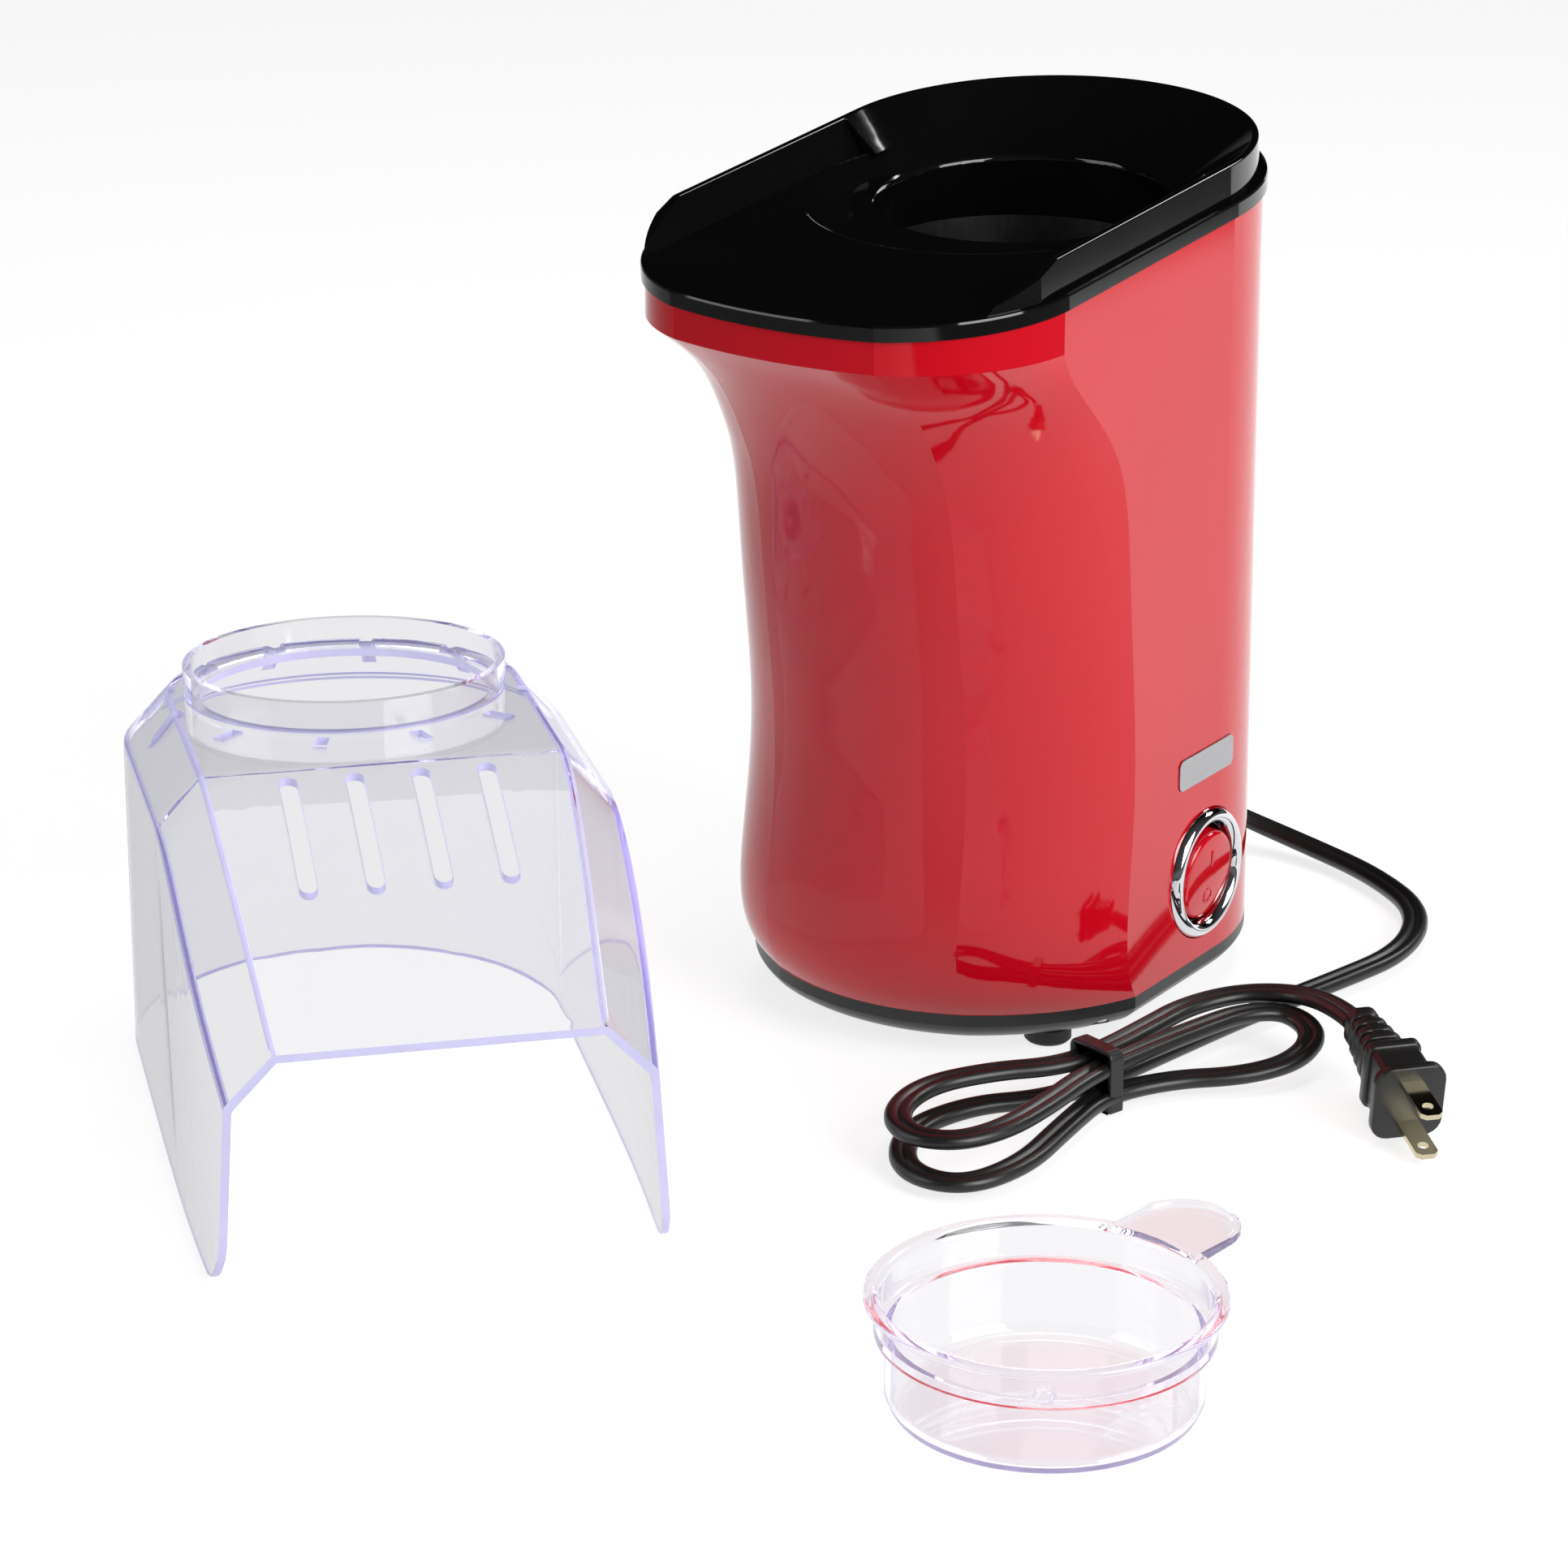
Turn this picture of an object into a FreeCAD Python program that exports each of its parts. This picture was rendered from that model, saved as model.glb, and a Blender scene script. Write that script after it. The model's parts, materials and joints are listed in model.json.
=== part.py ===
import FreeCAD, Part
import math
import os

V = FreeCAD.Vector
os.makedirs("parts", exist_ok=True)

# Hot-air popcorn maker with its clear hood and measuring cup set down beside it.
# Millimetres. Everything is drawn about the centre of the body's round back, chute towards -Y,
# switch on +X, worktop at z = 0, and moved to the middle of the set when it is written out.
set_mid_x = 8.0
set_mid_y = -118.3

# body plan
back_radius = 64.27
side_lean = 0.0058
shell_wall = 2.4
shell_bottom = 14.0
fascia_bottom = 214.0
top_edge_height = 232.4
top_tilt = 3.82
front_x_outer = 53.2
front_x_inner = 32.0
# height, then how far forward the crease, the two corner points and the nose stand
front_levels = [
    (shell_bottom, 46.6, 66.3, 85.0, 93.0),
    (72.0, 49.3, 68.9, 87.9, 96.0),
    (121.0, 52.0, 71.9, 91.2, 99.4),
    (152.0, 54.8, 75.5, 95.2, 103.5),
    (171.0, 58.8, 79.7, 99.7, 108.0),
    (185.0, 67.0, 86.9, 106.7, 115.0),
    (199.0, 80.5, 98.2, 117.0, 125.0),
    (207.0, 87.5, 108.5, 126.2, 132.2),
    (fascia_bottom, 91.0, 119.5, 136.1, 140.1),
]

# top cover
band_proud = 1.2
band_height = 4.6
rim_half_width = 61.8
rim_height = 14.4
rim_end = 92.0
rim_foot = 122.4
bowl_rim_radius = 59.9
bowl_edge_radius = 54.0
bowl_edge_forward = 25.0
bowl_low = -1.5
dish_floor = -0.5
dish_lean = 7.0
chute_half_floor = 54.9
chute_half_top = 59.8
skin = 2.6
skirt_depth = 6.0
skirt_wall = 2.1
fit_gap = 0.3
band_round = 0.8
rim_round = 0.6
dish_round = 2.5
throat_round = 2.0

# popping chamber, heater and blower stand on one axis
axis_y = -10.0
chamber_bore = 41.5
chamber_wall = 0.8
chamber_bottom = 128.0
chamber_flange_height = 215.2
chamber_flange_radius = 48.5
flange_thick = 1.2
louvre_count = 20
louvre_width = 2.2
louvre_height = 16.0
louvre_lean = 22.0
chamber_screw_circle = 45.5
can_radius = 47.2
can_wall = 0.8
can_bottom = 82.0
can_top = 172.0
can_flange_radius = 54.0
seal_thick = 2.0
duct_radius = 47.0
duct_wall = 2.0
duct_bottom = 56.0
duct_plate = 2.0
motor_plate_radius = 19.0
spoke_width = 6.0
pillar_circle = 50.5
pillar_radius = 3.6

heater_half_width = 36.5
heater_top = 116.0
heater_foot = 4.0
mica = 1.0
wire_radius = 0.7
coil_pitch = 4.0
main_turns = 5
motor_turns = 2
coil_start = 89.0
coil_break = 6.0
thermostat_radius = 7.0
thermostat_height = 9.0
fuse_radius = 1.8
fuse_length = 12.0

shaft_radius = 1.15
running_gap = 0.05
shaft_bottom = 20.0
fan_hub_radius = 9.0
fan_radius = 42.5
fan_hub_bottom = 61.0
fan_hub_height = 15.0
fan_blades = 6
fan_blade_thick = 1.6
fan_blade_pitch = 32.0
motor_radius = 15.5
motor_wall = 1.0
motor_bottom = 27.0
magnet_thick = 3.0
air_gap = 0.6
rotor_bottom = 33.0
rotor_height = 15.0
winding_height = 3.0
commutator_radius = 3.6
end_cap_thick = 3.0

# switch
switch_y = -7.8
switch_z = 39.5
bezel_radius = 19.55
bezel_bore = 14.5
bezel_seat = 62.6
bezel_proud = 3.7
switch_barrel = 15.2
switch_back = 39.7
rocker_ball = 14.1
rocker_front = 66.0
rocker_tip = 6.0
pivot_x = 57.7
pivot_radius = 1.2
tab_half = 3.1
tab_rise = 6.0
badge_length = 30.6
badge_height = 9.2
badge_mid_y = -9.0
badge_mid_z = 73.5
badge_seat = 63.45
badge_thick = 0.9

# base
tray_band = 3.5
tray_bottom = 3.5
tray_floor = 2.4
foot_radius = 6.8
foot_pocket = 1.0
feet = [(42.2, -58.0), (-42.2, -58.0), (38.0, 28.0), (-38.0, 28.0)]
boss_radius = 3.6
boss_height = 20.0
screw_radius = 1.5
screw_head_radius = 2.9
screw_head_height = 2.0
chamber_screw_grip = 8.0
heater_screw_grip = 9.0
base_screw_grip = 12.0
base_screw_sink = 4.0
duct_screw_grip = 8.0
duct_screw_sink = 8.0
bosses = [(56.3, -53.9), (-56.3, -53.9), (53.5, 24.9), (-53.5, 24.9)]
grille_radius = 30.0
grille_bar = 3.4
grille_slot = 3.0

# cord: flat twin lead laid on its edge
lobe_radius = 2.2
lobe_spacing = 3.4
cord_exit_z = 22.0
bush_length = 21.2
bush_root = 7.6
bush_tip = 5.6
bush_flange = 1.5
low = 4.0
high = 12.5
cord_end_y = back_radius - shell_wall - 5.2
lead_route = [
    (0.0, cord_end_y, cord_exit_z), (0.0, 92.0, 21.4), (10.5, 105.0, 11.0), (35.7, 107.5, 4.8),
    (64.7, 98.0, low), (90.7, 79.0, low), (101.2, 48.0, low), (94.7, 16.0, low), (85.7, -20.0, low),
    (79.2, -58.0, low),
]
hank_route = [
    (79.2, -58.0, low), (74.2, -88.0, low), (67.7, -104.0, low), (53.7, -118.0, low), (47.7, -142.0, low),
    (60.7, -165.0, low), (80.0, -165.5, low), (86.7, -144.0, low), (82.7, -116.0, low), (80.2, -92.0, low),
    (90.7, -72.0, low), (106.7, -60.0, 4.6), (116.2, -46.0, 6.2), (114.2, -30.0, 8.4), (102.2, -24.5, 10.6),
    (93.2, -35.0, 12.0), (88.7, -54.0, high), (83.2, -78.0, high), (79.7, -100.0, high), (80.7, -122.5, high),
    (79.7, -143.5, high), (72.7, -158.0, high), (58.7, -160.5, high), (48.2, -148.5, high),
    (46.4, -129.5, high), (56.5, -111.5, high), (69.7, -98.5, high), (74.7, -82.0, high), (76.7, -60.0, high),
]
tail_route = [
    (76.7, -60.0, high), (78.3, -42.0, 12.8), (87.2, -26.0, 13.6), (103.7, -20.0, 15.0), (119.7, -27.0, 16.6),
    (129.7, -36.5, 17.9),
]
tie_at = (77.3, -90.0)
tie_turn = 17.0
tie_wall = 1.4
tie_slack = 2.8
tie_width = 5.0

# inner leads
lead_radius = 1.0
feed_angle = -50.0

# plug
plug_nose = (161.7, -65.2, 11.9)
plug_heading = -41.8
plug_dip = 9.6
plug_width = 20.5
plug_height = 22.0
plug_length = 22.0
plug_round = 4.0
relief_length = 20.0
relief_rings = 5
blade_length = 17.0
blade_width = 6.35
blade_thick = 1.5
blade_spacing = 12.7

# hood
hood_at = (-127.2, -163.2)
hood_turn = 46.5
hood_wall = 2.2
hood_tilt = 3.43
hood_radius = 62.4
hood_ridge_radius = 62.0
hood_ridge_height = 91.0
hood_roof_radius = 49.5
hood_roof_height = 104.8
hood_break = 75.0
hood_front = 167.5
hood_tip_round = 17.0
# how far forward, half width on the worktop, half width and height of the ridge and of the panel
hood_sections = [
    (92.0, 62.3, 61.8, 93.0, 48.9, 105.2),
    (110.0, 62.1, 61.3, 85.6, 47.8, 97.4),
    (130.0, 61.6, 60.2, 74.5, 46.3, 87.2),
    (150.0, 60.8, 58.4, 62.8, 44.7, 75.4),
    (hood_front, 59.8, 56.4, 53.0, 43.4, 66.3),
]
ring_forward = 3.0
ring_radius = 45.1
ring_height = 8.6
ring_hole = 40.5
hood_slots = 4
hood_slot_pitch = 17.8
hood_slot_width = 5.0
hood_slot_from = 81.0
hood_slot_to = 122.0
vent_width = 3.6
vent_from = 48.6
vent_to = 57.0
vent_step = 30.0

# measuring cup
cup_at = (160.6, -254.8)
cup_turn = -8.8
cup_rim_radius = 45.0
cup_height = 31.4
cup_upper_radius = 42.3
cup_step = 11.0
cup_lower_radius = 39.6
cup_wall = 1.8
cup_corner = 5.0
handle_width = 28.8
handle_reach = 68.0
handle_thick = 2.4
handle_border = 1.8
lug_radius = 1.9
lug_proud = 1.3
lug_angle = 39.5

hood_slope = math.tan(math.radians(hood_tilt))
made = {}


def box(x0, x1, y0, y1, z0, z1):
    return Part.makeBox(x1 - x0, y1 - y0, z1 - z0, V(x0, y0, z0))


def rod(radius, z0, z1, x=0.0, y=0.0):
    return Part.makeCylinder(radius, z1 - z0, V(x, y, z0))


def tube(inner, outer, z0, z1, x=0.0, y=0.0):
    return rod(outer, z0, z1, x, y).cut(rod(inner, z0 - 1, z1 + 1, x, y))


def rodX(radius, x0, x1, y, z):
    return Part.makeCylinder(radius, x1 - x0, V(x0, y, z), V(1, 0, 0))


def rodY(radius, y0, y1, x, z):
    return Part.makeCylinder(radius, y1 - y0, V(x, y0, z), V(0, 1, 0))


def fuse(shapes):
    if len(shapes) == 1:
        return shapes[0]
    return shapes[0].multiFuse(shapes[1:]).removeSplitter()


def turned(points, x=0.0, y=0.0):
    face = Part.Face(Part.makePolygon([V(r, 0, z) for r, z in points + points[:1]]))
    solid = face.revolve(V(0, 0, 0), V(0, 0, 1), 360)
    solid.translate(V(x, y, 0))
    return solid


def turnedX(points, y, z):
    face = Part.Face(Part.makePolygon([V(x, 0, r) for r, x in points + points[:1]]))
    solid = face.revolve(V(0, 0, 0), V(1, 0, 0), 360)
    solid.translate(V(0, y, z))
    return solid


def around(shape, angle, x=0.0, y=axis_y):
    copy = shape.copy()
    copy.rotate(V(x, y, 0), V(0, 0, 1), angle)
    return copy


def save(name, shape):
    if len(shape.Solids) == 1:
        shape = shape.Solids[0]
    made[name] = shape
    out = shape.copy()
    out.translate(V(-set_mid_x, -set_mid_y, 0))
    out.exportStep("parts/" + name + ".step")
    print(name, "solids", len(shape.Solids), "volume", round(shape.Volume, 1), "valid", shape.isValid())


def circleThrough(a, b, c):
    return Part.Arc(V(*a, 0), V(*b, 0), V(*c, 0)).toShape().Curve.Center


def bodyOutline(level, inset, z):
    height, crease, outer, inner, nose = level
    half = back_radius - side_lean * (height - shell_bottom)
    c = (half, -crease)
    m = (front_x_outer, -outer)
    s = (front_x_inner, -inner)
    centre = circleThrough(c, m, s)
    moved = []
    for point in (m, s):
        away = V(point[0] - centre.x, point[1] - centre.y, 0)
        away.normalize()
        moved.append((point[0] - inset * away.x, point[1] - inset * away.y))
    r = half - inset
    right = V(r, 0, z)
    back = V(0, r, z)
    left = V(-r, 0, z)
    q = r * math.sqrt(0.5)
    creaseR = V(r, -crease, z)
    creaseL = V(-r, -crease, z)
    midR, splitR = [V(p[0], p[1], z) for p in moved]
    midL, splitL = [V(-p[0], p[1], z) for p in moved]
    noseP = V(0, -nose + inset, z)
    edges = [
        Part.Arc(right, V(q, q, z), back).toShape(),
        Part.Arc(back, V(-q, q, z), left).toShape(),
        Part.makeLine(left, creaseL),
        Part.Arc(creaseL, midL, splitL).toShape(),
        Part.Arc(splitL, noseP, splitR).toShape(),
        Part.Arc(splitR, midR, creaseR).toShape(),
        Part.makeLine(creaseR, right),
    ]
    return Part.Wire(edges)


def slab(level, inset, z0, z1):
    return Part.Face(bodyOutline(level, inset, z0)).extrude(V(0, 0, z1 - z0))


def tilted(shape):
    copy = shape.copy()
    copy.rotate(V(0, 0, 0), V(1, 0, 0), top_tilt)
    copy.translate(V(0, 0, top_edge_height))
    return copy


def levelEdges(shape, z):
    return [e for e in shape.Edges if abs(e.BoundBox.ZMin - z) < 0.01 and abs(e.BoundBox.ZMax - z) < 0.01]


def circleWire(radius, y, z):
    return Part.Wire(Part.makeCircle(radius, V(0, y, z)))


base_level = front_levels[0]
top_level = front_levels[-1]
cover_top = top_edge_height + 40.0

# The red housing: one moulded tube whose front sweeps forward into the spout.
outer = Part.makeLoft([bodyOutline(lv, 0.0, lv[0]) for lv in front_levels], True)
inner = Part.makeLoft([bodyOutline(lv, shell_wall, lv[0]) for lv in front_levels], True)
outer = outer.fuse(slab(top_level, 0.0, fascia_bottom, cover_top))
inner = inner.fuse(slab(top_level, shell_wall, fascia_bottom, cover_top))
above = tilted(box(-150, 150, -300, 150, 0, 100))
switch_pad = rodX(switch_barrel + 6.0, pivot_x - 1.0, back_radius, switch_y, switch_z)
pad = switch_pad.common(outer)
boss_list = [rod(boss_radius, shell_bottom, shell_bottom + boss_height, x, y) for x, y in bosses]
shell = outer.cut(inner).cut(above)
shell = fuse([shell, pad] + [b.common(outer) for b in boss_list])
shell = shell.cut(rodX(switch_barrel + fit_gap / 2, 20, 80, switch_y, switch_z))
shell = shell.cut(rodX(bezel_radius + fit_gap / 2, bezel_seat, 80, switch_y, switch_z))
badge_y0 = badge_mid_y - badge_length / 2
badge_z0 = badge_mid_z - badge_height / 2


def badgeBlock(x0, x1, grow):
    block = box(x0, x1, badge_y0 - grow, badge_y0 + badge_length + grow,
                badge_z0 - grow, badge_z0 + badge_height + grow)
    upright = [e for e in block.Edges if abs(e.tangentAt(e.FirstParameter).x) > 0.9]
    return block.makeFillet(2.0 + grow, upright)


shell = shell.cut(badgeBlock(badge_seat, 80, fit_gap / 3))
bush_hole = rodY(bush_tip + 0.6, 40, 80, 0, cord_exit_z)
shell = shell.cut(bush_hole)
for x, y in bosses:
    shell = shell.cut(rod(screw_radius, shell_bottom - 1, shell_bottom + base_screw_grip + 4, x, y))
save("housing_shell", shell)

# The black top cover: lip band, horseshoe rim, bowl, chute floor and throat in one moulding.
throat_bottom = chamber_flange_height
band_steps = [(0.0, 0.0), (0.0, band_height - band_round)]
for turn in (45, 90):
    inward = band_round * (1 - math.cos(math.radians(turn)))
    band_steps.append((inward, band_height - band_round * (1 - math.sin(math.radians(turn)))))
band = Part.makeLoft([bodyOutline(top_level, inward - band_proud, z) for inward, z in band_steps], True, True)
skirt = slab(top_level, shell_wall + fit_gap, -skirt_depth, 0.5)
rim_r = rim_half_width
rim_plan = Part.Wire([
    Part.Arc(V(rim_r, 0, 0), V(0, rim_r, 0), V(-rim_r, 0, 0)).toShape(),
    Part.makeLine(V(-rim_r, 0, 0), V(-rim_r, -rim_foot, 0)),
    Part.makeLine(V(-rim_r, -rim_foot, 0), V(rim_r, -rim_foot, 0)),
    Part.makeLine(V(rim_r, -rim_foot, 0), V(rim_r, 0, 0)),
])
rim = Part.Face(rim_plan).extrude(V(0, 0, rim_height))
rim = rim.common(slab(top_level, 0.0, -1, rim_height + 1))
end_cut = Part.Face(Part.makePolygon([
    V(-90, -rim_end, rim_height), V(-90, -rim_foot, band_height), V(-90, -200, band_height),
    V(-90, -200, 40), V(-90, -rim_end, 40), V(-90, -rim_end, rim_height),
])).extrude(V(180, 0, 0))
rim = rim.cut(end_cut)
chute = Part.Face(Part.makePolygon([
    V(-chute_half_floor, -200, band_height), V(chute_half_floor, -200, band_height),
    V(chute_half_top, -200, rim_height + 0.1), V(-chute_half_top, -200, rim_height + 0.1),
    V(-chute_half_floor, -200, band_height),
])).extrude(V(0, 200 + axis_y, 0))


def funnel(grow, drop):
    rings = []
    for t in (-0.02, 1.02):
        r = chamber_bore + (bowl_rim_radius - chamber_bore) * t + grow
        rings.append(circleWire(r, axis_y * (1 - t), bowl_low + (rim_height - bowl_low) * t - drop))
    return Part.makeLoft(rings, True, True)


def dish(grow, drop):
    deep = band_height - dish_floor
    foot = V(0, -bowl_edge_forward, dish_floor - drop)
    low_r = bowl_edge_radius - dish_lean + grow
    high_r = bowl_edge_radius + 0.1 * dish_lean + grow
    return Part.makeCone(low_r, high_r, deep * 1.1, foot)


hollow = slab(top_level, shell_wall + fit_gap + skirt_wall, -40, band_height - skin)
hollow = hollow.cut(funnel(skin, skin)).cut(dish(skin, skin))
cover = fuse([band, skirt, rim]).cut(chute)
cover = cover.cut(dish(0.0, 0.0)).cut(funnel(0.0, 0.0))
cover = cover.makeFillet(rim_round, levelEdges(cover, rim_height))
dish_edges = [e for e in levelEdges(cover, band_height) if e.Curve.TypeId == "Part::GeomCircle"]
dish_edges = [e for e in dish_edges if abs(e.Curve.Center.y + bowl_edge_forward) < 0.01]
cover = cover.makeFillet(dish_round, dish_edges)
cover = cover.cut(hollow)
cover = tilted(cover)
throat = rod(chamber_flange_radius, throat_bottom, cover_top, 0, axis_y)
throat = throat.cut(tilted(box(-150, 150, -300, 150, bowl_low - 0.1, 100)))
cover = cover.fuse(throat)
cover = cover.cut(rod(chamber_bore, throat_bottom - 1, cover_top, 0, axis_y))
throat_edges = [e for e in cover.Edges if e.Length > 6 * chamber_bore and e.BoundBox.ZMin > throat_bottom + 1]
cover = cover.makeFillet(throat_round, throat_edges)
chamber_screws = [(chamber_screw_circle, a) for a in (30, 150, 270)]
for radius, angle in chamber_screws:
    pilot = rod(screw_radius, throat_bottom - 1, throat_bottom + chamber_screw_grip, radius, axis_y)
    cover = cover.cut(around(pilot, angle))
save("top_cover", cover.removeSplitter())

# Popping chamber with leaning air louvres, hung from the throat by its flange.
co = chamber_bore + chamber_wall
flange_low = chamber_flange_height - flange_thick
chamber = turned([
    (0.0, chamber_bottom), (co, chamber_bottom), (co, flange_low), (chamber_flange_radius, flange_low),
    (chamber_flange_radius, chamber_flange_height), (chamber_bore, chamber_flange_height),
    (chamber_bore, chamber_bottom + chamber_wall), (0.0, chamber_bottom + chamber_wall),
], 0, axis_y)
slot = box(chamber_bore - 3, co + 3, axis_y - louvre_width / 2, axis_y + louvre_width / 2,
           chamber_bottom + 4, chamber_bottom + 4 + louvre_height)
slot.rotate(V(chamber_bore, axis_y, chamber_bottom + 4 + louvre_height / 2), V(1, 0, 0), louvre_lean)
chamber = chamber.cut(Part.makeCompound([around(slot, i * 360 / louvre_count) for i in range(louvre_count)]))
hole = rod(screw_radius + 0.1, flange_low - 1, chamber_flange_height + 1, chamber_screw_circle, axis_y)
chamber = chamber.cut(Part.makeCompound([around(hole, a) for _, a in chamber_screws]))
save("popping_chamber", chamber)


def screw(tip_z, seat_z, x, y):
    shank = rod(screw_radius, seat_z, tip_z, x, y)
    head = rod(screw_head_radius, seat_z - screw_head_height, seat_z, x, y)
    face_z = seat_z - screw_head_height
    slot_cut = box(x - 2.2, x + 2.2, y - 0.4, y + 0.4, face_z - 1, face_z + 0.9)
    return shank.fuse(head).cut(slot_cut).removeSplitter()


one = screw(throat_bottom + chamber_screw_grip, flange_low, chamber_screw_circle, axis_y)
save("chamber_screws", Part.makeCompound([around(one, a) for _, a in chamber_screws]))

# Heater can, seal, winding frame and its two windings.
ci = can_radius - can_wall
can = turned([
    (ci, can_bottom), (can_flange_radius, can_bottom), (can_flange_radius, can_bottom + can_wall),
    (can_radius, can_bottom + can_wall), (can_radius, can_top), (co + fit_gap, can_top),
    (co + fit_gap, can_top - can_wall), (ci, can_top - can_wall),
], 0, axis_y)
pillar_angles = (90, 210, 330)
tie_hole = rod(screw_radius + 0.1, can_bottom - 5, can_bottom + 5, pillar_circle, axis_y)
can = can.cut(Part.makeCompound([around(tie_hole, a) for a in pillar_angles]))
save("heater_can", can)
save("chamber_seal", tube(co, can_radius - 1.5, can_top, can_top + seal_thick, 0, axis_y))
arm = box(-heater_half_width, heater_half_width, axis_y - mica / 2, axis_y + mica / 2, can_bottom, heater_top)
wing_half = ci - fit_gap
wing = box(-wing_half, wing_half, axis_y - mica / 2, axis_y + mica / 2, can_bottom, can_bottom + heater_foot)
plate = arm.fuse(wing)
save("heater_frame", fuse([plate, around(plate, 90)]))


def winding(start, turns):
    radius = heater_half_width + wire_radius + 0.2
    helix = Part.makeHelix(coil_pitch, coil_pitch * turns, radius)
    helix.translate(V(0, axis_y, start))
    ring = Part.Wire(Part.makeCircle(wire_radius, V(radius, axis_y, start), V(0, 1, 0)))
    shell_maker = Part.BRepOffsetAPI.MakePipeShell(Part.Wire(helix.Edges))
    shell_maker.setFrenetMode(True)
    shell_maker.add(ring)
    shell_maker.build()
    shell_maker.makeSolid()
    return shell_maker.shape()


save("main_coil", winding(coil_start, main_turns))
motor_coil_start = coil_start + coil_pitch * main_turns + coil_break
save("motor_coil", winding(motor_coil_start - coil_break / 2, motor_turns))
print("winding gap to itself", coil_pitch - 2 * wire_radius)
thermostat = rod(thermostat_radius, chamber_bottom - thermostat_height, chamber_bottom, 0, axis_y)
tab = box(-1.6, 1.6, axis_y - 0.4, axis_y + 0.4, 0, 5)
for side in (-1, 1):
    leg = tab.copy()
    leg.translate(V(side * 4, 3.0, chamber_bottom - thermostat_height - 5))
    thermostat = thermostat.fuse(leg)
save("thermostat", thermostat.removeSplitter())
save("thermal_fuse", rodX(fuse_radius, 14, 14 + fuse_length, axis_y, heater_top + fuse_radius))

# Fan duct with its motor plate, and the screws through its three ears.
di = duct_radius - duct_wall
duct = tube(di, duct_radius, duct_bottom, can_bottom, 0, axis_y)
plate_disc = rod(motor_plate_radius, duct_bottom, duct_bottom + duct_plate, 0, axis_y)
plate_top = duct_bottom + duct_plate
spoke = box(0, duct_radius - 0.5, axis_y - spoke_width / 2, axis_y + spoke_width / 2, duct_bottom, plate_top)
spokes = [around(spoke, a) for a in (45, 135, 225, 315)]
ear = rod(pillar_radius, duct_bottom, can_bottom, pillar_circle, axis_y)
ears = [around(ear, a) for a in pillar_angles]
duct = fuse([duct, plate_disc] + spokes + ears)
motor_boss = 4.0
duct = duct.cut(rod(motor_boss + fit_gap, duct_bottom - 1, plate_top + 1, 0, axis_y))
motor_screw_at = 9.0
for x in (-motor_screw_at, motor_screw_at):
    duct = duct.cut(rod(screw_radius + 0.1, duct_bottom - 1, duct_bottom + duct_plate + 1, x, axis_y))
upper_hole = rod(screw_radius, can_bottom - heater_screw_grip - 1, can_bottom + 1, pillar_circle, axis_y)
lower_hole = rod(screw_radius, duct_bottom - 1, duct_bottom + duct_screw_grip + 1, pillar_circle, axis_y)
for angle in pillar_angles:
    duct = duct.cut(around(upper_hole, angle)).cut(around(lower_hole, angle))
save("fan_duct", duct)


def flipped(shape, z):
    copy = shape.copy()
    copy.rotate(V(0, axis_y, z), V(1, 0, 0), 180)
    return copy


seat = can_bottom + can_wall
down = flipped(screw(seat + seat - (can_bottom - heater_screw_grip), seat, pillar_circle, axis_y), seat)
save("heater_screws", Part.makeCompound([around(down, a) for a in pillar_angles]))

# Impeller: six pitched blades on a hub pressed on the shaft.
hub = rod(fan_hub_radius, fan_hub_bottom, fan_hub_bottom + fan_hub_height, 0, axis_y)
mid_z = fan_hub_bottom + fan_hub_height / 2
blade = box(fan_hub_radius - 2, fan_radius + 5, axis_y - fan_hub_height, axis_y + fan_hub_height,
            mid_z - fan_blade_thick / 2, mid_z + fan_blade_thick / 2)
blade.rotate(V(0, axis_y, mid_z), V(1, 0, 0), fan_blade_pitch)
sweep = tube(fan_hub_radius - 1.5, fan_radius, fan_hub_bottom, fan_hub_bottom + fan_hub_height, 0, axis_y)
blade = blade.common(sweep)
impeller = fuse([hub] + [around(blade, i * 360 / fan_blades) for i in range(fan_blades)])
impeller = impeller.cut(rod(shaft_radius, 0, 200, 0, axis_y))
save("impeller", impeller)
shaft_top = fan_hub_bottom + fan_hub_height + 1.5
save("motor_shaft", rod(shaft_radius, shaft_bottom, shaft_top, 0, axis_y))

# Motor: can with two magnets, wound rotor, commutator, brushes and end cap.
mi = motor_radius - motor_wall
bush_radius = 3.0
can_lid = duct_bottom - motor_wall
motor_can = turned([
    (motor_radius, motor_bottom), (motor_radius, duct_bottom), (motor_boss, duct_bottom),
    (motor_boss, duct_bottom + duct_plate), (bush_radius, duct_bottom + duct_plate), (bush_radius, can_lid),
    (mi, can_lid), (mi, motor_bottom),
], 0, axis_y)
for x in (-motor_screw_at, motor_screw_at):
    motor_can = motor_can.cut(rod(screw_radius, can_lid - 1, duct_bottom + 1, x, axis_y))
save("motor_can", motor_can)
mount_seat = duct_bottom + duct_plate
mount_tip = mount_seat + mount_seat - (can_lid - 1.0)
motor_screw = flipped(screw(mount_tip, mount_seat, motor_screw_at, axis_y), mount_seat)
save("motor_screws", Part.makeCompound([around(motor_screw, a) for a in (0, 180)]))
cap_bottom = motor_bottom - end_cap_thick
bush_bore = shaft_radius + running_gap
low_bush = tube(bush_bore, bush_radius, cap_bottom, motor_bottom, 0, axis_y)
high_bush = tube(bush_bore, bush_radius, can_lid, plate_top, 0, axis_y)
save("motor_bushes", Part.makeCompound([low_bush, high_bush]))
brush_at = commutator_radius + fit_gap
brush_long = 6.0
brush_box = box(brush_at, brush_at + brush_long, axis_y - 1.5, axis_y + 1.5, motor_bottom, motor_bottom + 3.0)
save("brushes", Part.makeCompound([brush_box, around(brush_box, 180)]))
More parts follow.
